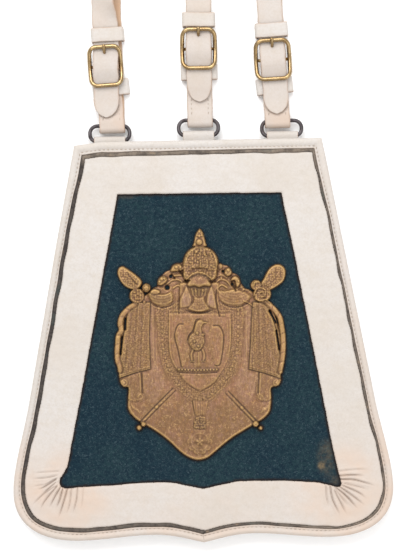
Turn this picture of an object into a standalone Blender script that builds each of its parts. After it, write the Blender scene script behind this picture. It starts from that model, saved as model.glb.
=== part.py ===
"""A cavalry sabretache lying on its back, with its three slings laid out above it.

Metres, +Z up. The origin is the middle of the pouch's back face, which rests on the surface.
+Y runs from the pointed hem to the slings, and +X to the right as the front is seen.
"""

import bmesh
import bpy
import math
from mathutils import Matrix, Vector

MM = 0.001
GAP = 0.3 * MM

# Panel outline, seen from the front
TOP_HALF_WIDTH = 96.8 * MM
TOP_Y = {"left_end": 154.8 * MM, "left": 157.4 * MM, "right": 158.0 * MM}
SIDE_FOOT = (134.8 * MM, -45.2 * MM)
WIDEST = (148.2 * MM, -115.0 * MM)
LOBE = (97.8 * MM, -153.6 * MM)
HOLLOW = (39.0 * MM, -149.9 * MM)
TIP_Y = -156.4 * MM
TIP_SLOPE = 0.22

# Layers of the panel, from the pouch's back face up
POUCH_THICK = 14.7 * MM
POUCH_WALL = 2.0 * MM
POUCH_INSET = 22.0 * MM
POUCH_MOUTH_Y = 127.0 * MM
PANEL_INSET = 2.3 * MM
PANEL_Z = (15.0 * MM, 18.0 * MM)
CLOTH_Z = (18.3 * MM, 19.3 * MM)
FRONT_Z = 19.6 * MM
BORDER_TOP_Z = 21.4 * MM
BORDER_INSET = 9.1 * MM
EDGE_WIDTH = 6.2 * MM
TOP_EXTRA, TOP_FROM_Y = 2.1 * MM, 130.0 * MM
EDGE_WALL = 2.0 * MM
EDGE_BACK_Z = 12.0 * MM
EDGE_CREST_Z = 22.0 * MM
PIPING_INSET = (6.5 * MM, 8.8 * MM)
PIPING_TOP_Z = 21.7 * MM

# Cloth window inside the leather border
WINDOW_TOP = (63.5 * MM, 116.5 * MM)
WINDOW_FOOT = (109.0 * MM, -111.4 * MM)
WINDOW_DIP_Y = -114.3 * MM
WINDOW_FOOT_LINE = [
    (12.0, -112.0), (22.0, -109.8), (30.0, -108.8), (45.0, -108.8), (75.0, -110.2), (98.0, -112.0), (107.0, -113.4),
]

# Gathers fanning out from the window's two lower corners
GATHER_COUNT = 8
GATHER_FROM_DEG, GATHER_TO_DEG = 8.0, -108.0
GATHER_START, GATHER_LENGTH = 5.2 * MM, 20.0 * MM
GATHER_RADII = (0.6 * MM, 1.6 * MM)

# Slings
STRAP_WIDTH = 19.8 * MM
STRAP_THICK = 2.0 * MM
REAR_Z = 2.8 * MM
RETURN_Z = 5.1 * MM
TIP_Z = 7.5 * MM
UNDER_LOW_BAR_Z = 9.2 * MM
OVER_BAR_Z = 12.7 * MM
UNDER_TOP_BAR_Z = 8.9 * MM
UPPER_KEEPER_Z = 8.3 * MM
UPPER_FRONT_Z = 6.4 * MM
PHOTO_TOP_Y = 268.0 * MM
TIP_LENGTH = 15.0 * MM
FOLD_SLACK = 1.8 * MM
SLING_END_Y = 330.0 * MM
BIGHT_RADIUS = 6.0 * MM
FRONT_PITCH, REAR_PITCH, RETURN_PITCH = 4.3 * MM, 10.0 * MM, 4.6 * MM

# Rings and the leather tabs that hold them
RING_HALF_WIDTH, RING_HALF_HEIGHT = 15.5 * MM, 6.3 * MM
RING_CORNER = 4.3 * MM
RING_WIRE = 1.5 * MM
RING_LOW_Z, RING_HIGH_Z = 7.7 * MM, 5.75 * MM
RING_RISE = 12.4 * MM
TAB_WIDTH = 24.4 * MM
TAB_HOLE, TAB_EYE = 2.25 * MM, 3.95 * MM
TAB_FOOT_Y = 147.5 * MM
TAB_THICK = 3.6 * MM

# Buckles
FRAME_HALF_WIDTH, FRAME_HALF_HEIGHT = 12.9 * MM, 15.2 * MM
FRAME_CORNER = 5.5 * MM
FRAME_WIRE = 1.65 * MM
FRAME_MID_Z, FRAME_END_Z = 8.8 * MM, 12.2 * MM
FRAME_BULGE = 0.035
FRAME_FLAT_FROM = 0.9
CORNER_STEPS = 3
BAR_RADIUS, BAR_Z = 1.3 * MM, 7.7 * MM
BAR_EYE = 2.6 * MM
TONGUE_RADIUS = 0.9 * MM
TONGUE_HOOK = 2.55 * MM
TONGUE_REACH = 16.6 * MM
TONGUE_RISE = [(7.0, 12.6), (11.5, 14.75)]
SLOT_WIDTH = 2.8 * MM
HOOK_SLOT_Y, HOOK_SLOT_Z = (-4.4 * MM, 5.2 * MM), (4.0 * MM, 11.4 * MM)
FRONT_SLOT_Y, FRONT_SLOT_Z = (1.8 * MM, 9.4 * MM), (8.9 * MM, 15.9 * MM)

# Keepers
KEEPER_WALL = 1.5 * MM
LOW_KEEPER = (29.0 * MM, 12.6 * MM)
HIGH_KEEPER = (26.0 * MM, 11.2 * MM)

# One row for each sling, in millimetres and degrees: its ring's lower bar, its tab, the pieces
# along it, and the strap's middle at each of them for its front, rear and return layers
SLING_COLUMNS = (
    "ring", "tab_x", "tip", "low_keeper", "low_tilt", "buckle", "buckle_tilt", "high_keeper", "high_tilt",
    "front_low_x", "front_high_x", "front_top_x", "rear_ring_x", "rear_top_x", "return_top_x", "twist", "lift",
)
SLINGS = {
    "left": (
        (-69.2, 158.3), -69.2, (-71.6, 177.1), (-67.7, 200.4), 5.5, (-71.6, 217.4), 3.4, (-69.7, 242.2), 4.0,
        -71.2, -70.6, -72.0, -67.2, -69.1, -71.1, 20.0, 3.0,
    ),
    "centre": (
        (0.6, 161.8), 0.6, (1.9, 188.6), (1.8, 212.2), 0.0, (1.7, 229.9), 0.0, (2.0, 252.9), 0.0,
        1.8, 2.0, 2.2, 2.0, 2.2, 1.7, 0.0, 0.0,
    ),
    "right": (
        (66.0, 160.4), 66.4, (62.4, 177.9), (60.9, 200.4), 6.0, (59.8, 220.4), 2.5, (59.1, 243.9), 3.0,
        61.4, 58.8, 57.8, 62.9, 58.2, 60.0, 0.0, 0.0,
    ),
}

# Brass plaque, in its own frame: u to the right, v up, from its middle
PLAQUE_AT = (-0.6 * MM, -2.3 * MM)
PLAQUE_TILT_DEG = -0.9
PLAQUE_BASE_Z = (19.6 * MM, 21.8 * MM)
PLAQUE_ROOT_Z = 20.5 * MM
OUTER_ROOT_Z, KNOT_ROOT_Z = 19.9 * MM, 20.2 * MM
PLATE_HALF = [
    (1.6, 90.0), (2.6, 84.5), (4.6, 81.0), (3.8, 77.0), (9.0, 72.0), (13.2, 66.0), (15.2, 59.0), (19.5, 57.5), (25.0, 51.0), (33.0, 41.5), (40.0, 38.0), (48.0, 36.0), (54.5, 31.0),
    (60.5, 25.0), (64.5, 18.5), (66.8, 6.0), (66.0, -8.0), (63.5, -17.5), (63.5, -27.5), (60.0, -31.5),
    (55.5, -33.0), (56.0, -48.5), (54.0, -52.5), (44.0, -62.8), (30.0, -71.2), (18.0, -80.2),
    (9.0, -87.5), (3.0, -89.6),
]
CROWN_HALF = [(2.6, 76.0), (8.0, 71.5), (12.2, 65.5), (14.0, 59.0), (13.5, 50.0)]
SHIELD_HALF = [(33.5, 25.0), (33.0, -8.0), (30.0, -21.0), (23.0, -32.0), (12.0, -39.5), (0.0, -42.0)]
FIELD_HALF = [(22.0, 26.5), (21.5, -8.0), (18.0, -22.0), (10.0, -32.0), (0.0, -35.5)]
DRAPE = [(38.0, 33.0), (49.5, 34.0), (57.0, 20.0), (61.0, 0.0), (62.0, -27.5), (37.0, -20.5)]
LOWER_DRAPE = [(38.0, -22.5), (54.0, -30.5), (54.5, -48.0), (44.0, -59.0), (33.0, -44.0)]
WING = [
    (2.5, 8.0), (5.0, 9.5), (9.0, 13.0), (12.0, 16.5), (15.5, 15.0), (17.5, 10.0), (17.2, 0.0),
    (15.0, -12.0), (12.5, -17.0), (9.0, -10.0), (5.0, -4.0),
]
# Raised plates: name, outline, height of the top and bevel
MIDDLE_PLATES = [
    ("crown", CROWN_HALF, 23.4, 0.0), ("shield", SHIELD_HALF, 23.2, 0.6), ("field", FIELD_HALF, 24.6, 0.6),
]
PAIRED_PLATES = [("drape", DRAPE, 24.2, 0.7), ("lower_drape", LOWER_DRAPE, 23.0, 0.5), ("wing", WING, 26.0, 0.0)]
# Lumps: name, whether there is one on each side, (u, v, height), radii, turn in degrees, sides, root
BOSSES = [
    ("crown_dome", False, (0, 60, 22.6), (11.5, 12.5, 4.6), 0, 12, PLAQUE_ROOT_Z),
    ("orb", False, (0, 79.5, 22.4), (4.1, 4.1, 2.6), 0, 10, OUTER_ROOT_Z),
    ("helm", False, (0, 47.5, 23.4), (11.4, 8.2, 5.6), 0, 12, PLAQUE_ROOT_Z),
    ("helm_neck", False, (0, 35.5, 23.2), (8.0, 9.5, 3.6), 0, 12, PLAQUE_ROOT_Z),
    ("eagle_body", False, (-1.0, 1.5, 24.9), (4.8, 9.5, 3.2), 0, 12, PLAQUE_ROOT_Z),
    ("eagle_head", False, (-0.6, 14.0, 25.3), (2.8, 4.2, 2.2), 0, 8, PLAQUE_ROOT_Z),
    ("medal", False, (0, -57.5, 22.4), (5.0, 5.0, 1.9), 0, 10, PLAQUE_ROOT_Z),
    ("cross", False, (0, -70.5, 22.0), (7.0, 7.5, 1.5), 0, 8, PLAQUE_ROOT_Z),
    ("sceptre_head", True, (58.0, 52.0, 22.2), (12.0, 6.3, 3.7), 42, 12, OUTER_ROOT_Z),
    ("knot", True, (47.5, 40.5, 22.3), (7.6, 7.4, 4.4), 0, 10, KNOT_ROOT_Z),
    ("swag", True, (29.0, 40.0, 21.8), (12.5, 5.4, 3.4), -28, 10, PLAQUE_ROOT_Z),
    ("thigh", True, (3.9, -11.5, 24.8), (2.2, 6.2, 2.0), 12, 8, PLAQUE_ROOT_Z),
]
# Rods: name, one end and the other as (u, v, height), and radius
RODS = [
    ("thunderbolt", (-0.5, -20.2, 25.0), (15.5, -20.2, 25.0), 1.9),
    ("stave", (21.0, -37.0, 22.6), (48.2, -65.5, 22.3), 1.5),
]


def material(name, colour, roughness, metallic=0.0):
    made = bpy.data.materials.new(name)
    made.use_nodes = True
    shader = made.node_tree.nodes["Principled BSDF"]
    shader.inputs["Base Color"].default_value = (*colour, 1.0)
    shader.inputs["Roughness"].default_value = roughness
    shader.inputs["Metallic"].default_value = metallic
    made.diffuse_color = (*colour, 1.0)
    return made


def start_scene():
    for old in list(bpy.data.objects):
        bpy.data.objects.remove(old)
    made = {}
    for name in ("sabretache", "cutters"):
        made[name] = bpy.data.collections.new(name)
        bpy.context.scene.collection.children.link(made[name])
    return made


COLLECTIONS = start_scene()
WHITE_LEATHER = material("white_leather", (0.79, 0.74, 0.68), 0.7)
POUCH_LEATHER = material("pouch_leather", (0.72, 0.64, 0.55), 0.75)
BLUE_CLOTH = material("blue_cloth", (0.018, 0.045, 0.075), 0.95)
DARK_PIPING = material("dark_piping", (0.09, 0.08, 0.07), 0.9)
OLD_BRASS = material("old_brass", (0.42, 0.25, 0.14), 0.45, 1.0)
BRASS = material("brass", (0.68, 0.47, 0.18), 0.25, 1.0)
IRON = material("iron", (0.10, 0.09, 0.09), 0.4, 1.0)


def link(name, data, look, helper=False):
    obj = bpy.data.objects.new(name, data)
    COLLECTIONS["cutters" if helper else "sabretache"].objects.link(obj)
    data.materials.append(look)
    if helper:
        obj.hide_render = True
        obj.display_type = "WIRE"
    return obj


def mesh_of(points, faces):
    mesh = bpy.data.meshes.new("mesh")
    mesh.from_pydata([tuple(p) for p in points], [], faces)
    shape = bmesh.new()
    shape.from_mesh(mesh)
    bmesh.ops.recalc_face_normals(shape, faces=shape.faces)
    shape.to_mesh(mesh)
    shape.free()
    return mesh


def as_mesh(obj):
    """Turns a curve object into a welded mesh object of the same name, place and collection."""
    bpy.context.view_layer.update()
    graph = bpy.context.evaluated_depsgraph_get()
    mesh = bpy.data.meshes.new_from_object(obj.evaluated_get(graph))
    shape = bmesh.new()
    shape.from_mesh(mesh)
    bmesh.ops.remove_doubles(shape, verts=shape.verts, dist=0.001 * MM)
    bmesh.ops.recalc_face_normals(shape, faces=shape.faces)
    shape.to_mesh(mesh)
    shape.free()
    name, home, look = obj.name, obj.users_collection[0], obj.data.materials[0]
    placed, hidden = obj.matrix_world.copy(), obj.hide_render
    bpy.data.objects.remove(obj)
    new = bpy.data.objects.new(name, mesh)
    home.objects.link(new)
    if not mesh.materials:
        mesh.materials.append(look)
    new.matrix_world = placed
    new.hide_render = hidden
    new.display_type = "WIRE" if hidden else "TEXTURED"
    return new


def plate(name, outlines, low, high, look, bevel=0.0, helper=False):
    """A flat plate between two heights. The first outline is its edge and the others are holes."""
    curve = bpy.data.curves.new(name, "CURVE")
    curve.dimensions = "2D"
    curve.fill_mode = "BOTH"
    curve.extrude = (high - low) / 2 - bevel
    curve.bevel_depth = bevel
    curve.bevel_resolution = 0
    curve.offset = -bevel
    for outline in outlines:
        spline = curve.splines.new("POLY")
        spline.points.add(len(outline) - 1)
        for point, (x, y) in zip(spline.points, outline):
            point.co = (x, y, 0.0, 1.0)
        spline.use_cyclic_u = True
    obj = link(name, curve, look, helper)
    obj.location.z = (low + high) / 2
    return obj


def tube(name, points, radius, look, closed=False, resolution=2, helper=False):
    curve = bpy.data.curves.new(name, "CURVE")
    curve.dimensions = "3D"
    curve.bevel_depth = radius
    curve.bevel_resolution = resolution
    curve.use_fill_caps = not closed
    curve.twist_mode = "MINIMUM"
    spline = curve.splines.new("POLY")
    spline.points.add(len(points) - 1)
    for point, place in zip(spline.points, points):
        point.co = (*place, 1.0)
    spline.use_cyclic_u = closed
    return link(name, curve, look, helper)


def boolean(obj, other, operation):
    modifier = obj.modifiers.new(operation.lower(), "BOOLEAN")
    modifier.operation = operation
    modifier.object = other
    modifier.solver = "EXACT"


def bezier(start, pull, push, end, count):
    """Points of a cubic curve, without its last one."""
    points = []
    for i in range(count):
        t = i / count
        s = 1 - t
        weights = (s ** 3, 3 * s * s * t, 3 * s * t * t, t ** 3)
        points.append(tuple(
            sum(w * p[axis] for w, p in zip(weights, (start, pull, push, end))) for axis in (0, 1)
        ))
    return points


def ease(t):
    return t * t * (3 - 2 * t)


def half_outline():
    """The right half of the panel's outline, from the pointed hem up to the top corner."""
    slope_end = (HOLLOW[0] * 0.34, TIP_Y + HOLLOW[0] * 0.34 * TIP_SLOPE)
    points = bezier((0.0, TIP_Y), slope_end, (HOLLOW[0] * 0.6, HOLLOW[1]), HOLLOW, 5)
    wave = LOBE[0] - HOLLOW[0]
    points += bezier(HOLLOW, (HOLLOW[0] + wave * 0.35, HOLLOW[1]), (LOBE[0] - wave * 0.35, LOBE[1]), LOBE, 4)
    points += bezier(LOBE, (LOBE[0] + 30.2 * MM, LOBE[1]), (WIDEST[0], WIDEST[1] - 26 * MM), WIDEST, 9)
    points += bezier(
        WIDEST, (WIDEST[0], WIDEST[1] + 20 * MM), (SIDE_FOOT[0] + 4.7 * MM, SIDE_FOOT[1] - 25 * MM), SIDE_FOOT, 4
    )
    corner = (TOP_HALF_WIDTH, TOP_Y["right"])
    return points + [tuple(a + (b - a) * t for a, b in zip(SIDE_FOOT, corner)) for t in (0, 0.33, 0.66)]


def outline():
    """The panel's whole outline, anticlockwise from the pointed hem."""
    half = half_outline()
    top = [
        (TOP_HALF_WIDTH, TOP_Y["right"]),
        (0.0, (TOP_Y["left"] + TOP_Y["right"]) / 2),
        (-TOP_HALF_WIDTH * 0.78, TOP_Y["left"]),
        (-TOP_HALF_WIDTH, TOP_Y["left_end"]),
    ]
    return half + top + [(-x, y) for x, y in reversed(half[1:])]


def inset(points, distance):
    """A closed anticlockwise outline moved inwards, with mitred corners."""
    moved = []
    for i, here in enumerate(points):
        here = Vector(here)
        before = (here - Vector(points[i - 1])).normalized()
        after = (Vector(points[(i + 1) % len(points)]) - here).normalized()
        inward = (Vector((-before.y, before.x)) + Vector((-after.y, after.x))).normalized()
        moved.append(tuple(here + inward * distance / max(0.3, inward.dot(Vector((-after.y, after.x))))))
    return moved


OUTLINE = outline()


def seam(distance):
    """The panel's outline moved inwards, and past the binding a little further along the top edge."""
    extra = TOP_EXTRA if distance >= EDGE_WIDTH else 0.0
    return [(x, y - extra if y > TOP_FROM_Y else y) for x, y in inset(OUTLINE, distance)]


def band(name, profile, look):
    """A solid whose section, a list of (inset, height), follows the panel's whole outline."""
    loops = [[(x, y, z) for x, y in seam(distance)] for distance, z in profile]
    stations, sides = len(OUTLINE), len(profile)
    points = [loops[j][i] for i in range(stations) for j in range(sides)]
    faces = []
    for i in range(stations):
        for j in range(sides):
            k, after = (j + 1) % sides, (i + 1) % stations
            faces.append((i * sides + j, i * sides + k, after * sides + k, after * sides + j))
    return link(name, mesh_of(points, faces), look)


def window():
    """The cloth window's outline, anticlockwise from the middle of its wavy foot."""
    half = [
        (0.0, WINDOW_DIP_Y),
        *[(x * MM, y * MM) for x, y in WINDOW_FOOT_LINE],
        WINDOW_FOOT,
        WINDOW_TOP,
    ]
    return half + [(-x, y) for x, y in reversed(half[1:])]


def make_panel():
    plate("panel_leather", [inset(OUTLINE, PANEL_INSET)], *PANEL_Z, POUCH_LEATHER)
    plate("cloth_field", [inset(OUTLINE, PANEL_INSET)], *CLOTH_Z, BLUE_CLOTH)
    band("edge_binding", [
        (EDGE_WIDTH, FRONT_Z), (EDGE_WIDTH, FRONT_Z + 1.6 * MM), (4.7 * MM, FRONT_Z + 1.7 * MM),
        (3.0 * MM, EDGE_CREST_Z), (1.0 * MM, EDGE_CREST_Z - 0.6 * MM), (0.0, FRONT_Z), (0.0, PANEL_Z[0]),
        (1.0 * MM, EDGE_BACK_Z + 0.4 * MM), (3.0 * MM, EDGE_BACK_Z), (EDGE_WIDTH, EDGE_BACK_Z),
        (EDGE_WIDTH, PANEL_Z[0] - GAP), (EDGE_WALL, PANEL_Z[0] - GAP), (EDGE_WALL, FRONT_Z),
    ], WHITE_LEATHER)
    near, far = PIPING_INSET
    band("dark_piping", [
        (near, FRONT_Z), (near, PIPING_TOP_Z - 0.9 * MM), (near + 0.8 * MM, PIPING_TOP_Z),
        (far - 0.8 * MM, PIPING_TOP_Z), (far, PIPING_TOP_Z - 0.9 * MM), (far, FRONT_Z),
    ], DARK_PIPING)


def gather_ridges(side):
    """Tapered ridges that fan out from one lower corner of the window, as one helper mesh."""
    shape = bmesh.new()
    for i in range(GATHER_COUNT):
        share = i / (GATHER_COUNT - 1)
        angle = math.radians(GATHER_FROM_DEG + (GATHER_TO_DEG - GATHER_FROM_DEG) * share)
        length = GATHER_LENGTH * (0.8 + 0.2 * math.sin(math.pi * share) + 0.06 * (-1) ** i)
        turn = Matrix.Rotation(math.radians(90), 4, "Y")
        spin = Matrix.Rotation(angle if side > 0 else math.pi - angle, 4, "Z")
        reach = GATHER_START + length / 2
        place = Matrix.Translation((side * WINDOW_FOOT[0], WINDOW_FOOT[1], BORDER_TOP_Z - 0.25 * MM))
        bmesh.ops.create_cone(
            shape, cap_ends=True, segments=4, radius1=GATHER_RADII[0], radius2=GATHER_RADII[1], depth=length,
            matrix=place @ spin @ Matrix.Translation((reach, 0, 0)) @ turn,
        )
    mesh = bpy.data.meshes.new("gathers")
    shape.to_mesh(mesh)
    shape.free()
    return link("gathers_" + ("right" if side > 0 else "left"), mesh, WHITE_LEATHER, helper=True)


def make_border():
    border = as_mesh(plate(
        "leather_border", [seam(BORDER_INSET), window()], FRONT_Z, BORDER_TOP_Z, WHITE_LEATHER
    ))
    for side in (-1, 1):
        boolean(border, gather_ridges(side), "UNION")


def clip_top(points, y):
    """An outline cut off level at a height, its top corners put where its sides cross that height."""
    kept = []
    for a, b in zip(points, points[1:] + points[:1]):
        if a[1] <= y:
            kept.append(a)
        if (a[1] <= y) != (b[1] <= y):
            share = (y - a[1]) / (b[1] - a[1])
            kept.append((a[0] + (b[0] - a[0]) * share, y))
    return kept


def make_pouch():
    """The flat pouch on the panel's back, open along its top edge."""
    outer = clip_top(inset(OUTLINE, POUCH_INSET), POUCH_MOUTH_Y)
    inner = clip_top(inset(OUTLINE, POUCH_INSET + POUCH_WALL), POUCH_MOUTH_Y)
    widest = max(x for x, y in inner if y == POUCH_MOUTH_Y)
    beyond = POUCH_MOUTH_Y + 10 * MM
    inner = [p for p in inner if p[1] < POUCH_MOUTH_Y and p[0] >= 0] + [(widest, POUCH_MOUTH_Y)] + [
        (widest, beyond), (-widest, beyond), (-widest, POUCH_MOUTH_Y)
    ] + [p for p in inner if p[1] < POUCH_MOUTH_Y and p[0] < 0]
    pouch = as_mesh(plate("back_pouch", [outer], 0.0, POUCH_THICK, POUCH_LEATHER))
    hollow = as_mesh(plate(
        "pouch_hollow", [inner], POUCH_WALL, POUCH_THICK - POUCH_WALL, POUCH_LEATHER, helper=True
    ))
    boolean(pouch, hollow, "DIFFERENCE")


def rounded_rectangle(half_width, half_height, radius, steps):
    """Corner points of a rounded rectangle, anticlockwise, as (across, along)."""
    points = []
    for quarter, (sx, sy) in enumerate(((1, 1), (-1, 1), (-1, -1), (1, -1))):
        for i in range(steps + 1):
            angle = math.radians(90 * (quarter + i / steps))
            points.append((
                sx * (half_width - radius) + radius * math.cos(angle),
                sy * (half_height - radius) + radius * math.sin(angle),
            ))
    return points


def make_ring(side, row):
    """An oblong iron ring, tilted down from its tab to the sling."""
    ring_x, low_y = (v * MM for v in row["ring"])
    points = []
    for across, up in rounded_rectangle(RING_HALF_WIDTH, RING_HALF_HEIGHT, RING_CORNER, CORNER_STEPS):
        share = (up + RING_HALF_HEIGHT) / (2 * RING_HALF_HEIGHT)
        height = RING_LOW_Z + (RING_HIGH_Z - RING_LOW_Z) * share
        points.append((ring_x + across, low_y + RING_RISE * share, height))
    tube("ring_" + side, points, RING_WIRE, IRON, closed=True)


def make_tab(side, row):
    """A strip behind the panel's top edge, folded round the ring's lower bar and sewn to itself."""
    centre = (row["ring"][1] * MM, RING_LOW_Z)
    top = RING_LOW_Z + TAB_EYE
    low = top - TAB_THICK
    start_deg = math.degrees(math.asin((low - RING_LOW_Z) / TAB_EYE))
    edge = [(TAB_FOOT_Y, top), (TAB_FOOT_Y, low)] + arc(centre, TAB_EYE, 180 - start_deg, 450, 15)
    hole = arc(centre, TAB_HOLE, 0, 330, 11)
    tab = plate("ring_tab_" + side, [edge, hole], -TAB_WIDTH / 2, TAB_WIDTH / 2, WHITE_LEATHER)
    # the drawing's own x and y become the object's y and z
    turn = Matrix(((0, 0, 1), (1, 0, 0), (0, 1, 0))).to_4x4()
    tab.matrix_world = Matrix.Translation((row["tab_x"] * MM, 0, 0)) @ turn


def along(knots, at, rounded=True):
    """A value read from (place, value) knots, in straight runs or level at each knot."""
    if at <= knots[0][0]:
        return knots[0][1]
    for (a, low), (b, high) in zip(knots, knots[1:]):
        if at <= b:
            share = (at - a) / (b - a)
            return low + (high - low) * (ease(share) if rounded else share)
    return knots[-1][1]


def arc(centre, radius, start_deg, end_deg, steps):
    """Points (y, z) of an arc."""
    angles = [math.radians(start_deg + (end_deg - start_deg) * i / steps) for i in range(steps + 1)]
    return [(centre[0] + radius * math.cos(a), centre[1] + radius * math.sin(a)) for a in angles]


def spaced(start, end, pitch):
    count = max(1, round(abs(end - start) / pitch))
    return [start + (end - start) * i / count for i in range(count + 1)]


def front_layer(row):
    """The strap from its rounded tip, over the buckle's bar, up to the crest of the bight."""
    tip_x, tip_y = (v * MM for v in row["tip"])
    low_y, high_y = row["low_keeper"][1] * MM, row["high_keeper"][1] * MM
    buckle_x, buckle_y = (v * MM for v in row["buckle"])
    crest_y, crest_z = SLING_END_Y - BIGHT_RADIUS, 2 * BIGHT_RADIUS + STRAP_THICK / 2
    top_z = UPPER_FRONT_Z + row["lift"] * MM
    heights = [
        (tip_y, TIP_Z), (low_y - LOW_KEEPER[1] / 2 - 3 * MM, UNDER_LOW_BAR_Z),
        (buckle_y - FRAME_HALF_HEIGHT, UNDER_LOW_BAR_Z), (buckle_y - 1 * MM, OVER_BAR_Z),
        (buckle_y + 1 * MM, OVER_BAR_Z), (buckle_y + FRAME_HALF_HEIGHT, UNDER_TOP_BAR_Z),
        (high_y, UPPER_KEEPER_Z), (high_y + HIGH_KEEPER[1] / 2 + 3 * MM, UPPER_KEEPER_Z),
        (PHOTO_TOP_Y + 6 * MM, top_z), (PHOTO_TOP_Y + 18 * MM, top_z), (crest_y, crest_z),
    ]
    middles = [
        (tip_y, tip_x), (low_y, row["front_low_x"] * MM), (buckle_y, buckle_x),
        (high_y, row["front_high_x"] * MM), (PHOTO_TOP_Y, row["front_top_x"] * MM),
        (crest_y, row["rear_top_x"] * MM),
    ]
    twists = [(high_y + HIGH_KEEPER[1] / 2 + 3 * MM, 0.0), (PHOTO_TOP_Y, row["twist"]), (crest_y - 12 * MM, 0.0)]
    path = []
    for i in range(6):
        reach = math.cos(math.radians(90 * i / 6))
        y = tip_y + TIP_LENGTH * (1 - reach)
        half = STRAP_WIDTH / 2 * max(0.12, math.sqrt(1 - reach ** 2.2))
        path.append((along(middles, y, False), y, along(heights, y), 0.0, half))
    for y in spaced(tip_y + TIP_LENGTH, crest_y, FRONT_PITCH):
        path.append((along(middles, y, False), y, along(heights, y), along(twists, y), STRAP_WIDTH / 2))
    return path


def level_run(middles, places, half=STRAP_WIDTH / 2):
    """Sections of the strap, without twist, at places (y, z)."""
    return [(along(middles, y, False), y, z, 0.0, half) for y, z in places]


def rear_layers(row):
    """The strap from the bight down the back, round the ring's upper bar and up to the buckle's bar."""
    ring_y = row["ring"][1] * MM + RING_RISE
    buckle_y = row["buckle"][1] * MM
    crest_y = SLING_END_Y - BIGHT_RADIUS
    fold_y, fold_z = ring_y - FOLD_SLACK, RING_HIGH_Z + 0.15 * MM
    fold = fold_z - REAR_Z
    rear_z = [(ring_y, REAR_Z), (PHOTO_TOP_Y, REAR_Z), (PHOTO_TOP_Y + 25 * MM, STRAP_THICK / 2)]
    return_z = [(ring_y + 2.5 * MM, fold_z + fold), (ring_y + 15 * MM, RETURN_Z)]
    rear_x = [(ring_y, row["rear_ring_x"] * MM), (PHOTO_TOP_Y, row["rear_top_x"] * MM)]
    return_x = [(ring_y, row["rear_ring_x"] * MM), (buckle_y, row["return_top_x"] * MM)]
    bight = arc((crest_y, BIGHT_RADIUS + STRAP_THICK / 2), BIGHT_RADIUS, 90, -90, 8)[1:]
    down = [(y, along(rear_z, y)) for y in spaced(crest_y, fold_y, REAR_PITCH)[1:]]
    turn = arc((fold_y, fold_z), fold, 270, 90, 7)[1:]
    up = [(y, along(return_z, y)) for y in spaced(fold_y, buckle_y, RETURN_PITCH)[1:]]
    eye = arc((buckle_y, BAR_Z), BAR_EYE, -90, 180, 9)[1:] + [(buckle_y - BAR_EYE, BAR_Z - 1.1 * MM)]
    return level_run(rear_x, bight + down + turn) + level_run(return_x, up + eye)


def lean_of(path):
    """The direction across the strap at each section, level with the surface."""
    across = []
    for i in range(len(path)):
        before, after = path[max(0, i - 2)], path[min(len(path) - 1, i + 2)]
        run = Vector((after[0] - before[0], after[1] - before[1]))
        if run.y < 0:
            run = -run
        across.append(Vector((run.y, -run.x, 0)).normalized() if run.length > 5 * MM else None)
    known = [i for i, a in enumerate(across) if a]
    return [a or across[min(known, key=lambda k: abs(k - i))] for i, a in enumerate(across)]


def make_sling(side, row):
    path = front_layer(row) + rear_layers(row)
    across = lean_of(path)
    points, faces = [], []
    for i, (x, y, z, twist, half) in enumerate(path):
        before, after = path[max(0, i - 1)], path[min(len(path) - 1, i + 1)]
        tangent = Vector([after[k] - before[k] for k in range(3)])
        tangent = (tangent - across[i] * tangent.dot(across[i])).normalized()
        wide = Matrix.Rotation(math.radians(-twist), 3, tangent) @ across[i]
        thick = tangent.cross(wide).normalized() * STRAP_THICK / 2
        wide = wide * half
        here = Vector((x, y, z))
        points += [here + wide + thick, here - wide + thick, here - wide - thick, here + wide - thick]
    last = len(path) - 1
    for i in range(last):
        for j in range(4):
            k = (j + 1) % 4
            faces.append((4 * i + j, 4 * i + k, 4 * i + 4 + k, 4 * i + 4 + j))
    faces += [(0, 1, 2, 3), tuple(4 * last + j for j in range(4))]
    sling = link("sling_" + side, mesh_of(points, faces), WHITE_LEATHER)
    for name, y_range, z_range in (
        ("hook_slot_", HOOK_SLOT_Y, HOOK_SLOT_Z), ("front_slot_", FRONT_SLOT_Y, FRONT_SLOT_Z),
    ):
        boolean(sling, slot(name + side, y_range, z_range, buckle_place(row)), "DIFFERENCE")


def slot(name, y_range, z_range, place):
    """A cutter for one of the tongue's slots, in the buckle's own frame."""
    shape = bmesh.new()
    size = (SLOT_WIDTH, y_range[1] - y_range[0], z_range[1] - z_range[0])
    bmesh.ops.create_cube(shape, size=1.0, matrix=Matrix.Diagonal((*size, 1.0)))
    mesh = bpy.data.meshes.new(name)
    shape.to_mesh(mesh)
    shape.free()
    obj = link(name, mesh, WHITE_LEATHER, helper=True)
    obj.matrix_world = place @ Matrix.Translation((0, sum(y_range) / 2, sum(z_range) / 2))
    return obj


def buckle_place(row):
    x, y = (v * MM for v in row["buckle"])
    return Matrix.Translation((x, y, 0)) @ Matrix.Rotation(math.radians(row["buckle_tilt"]), 4, "Z")


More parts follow.
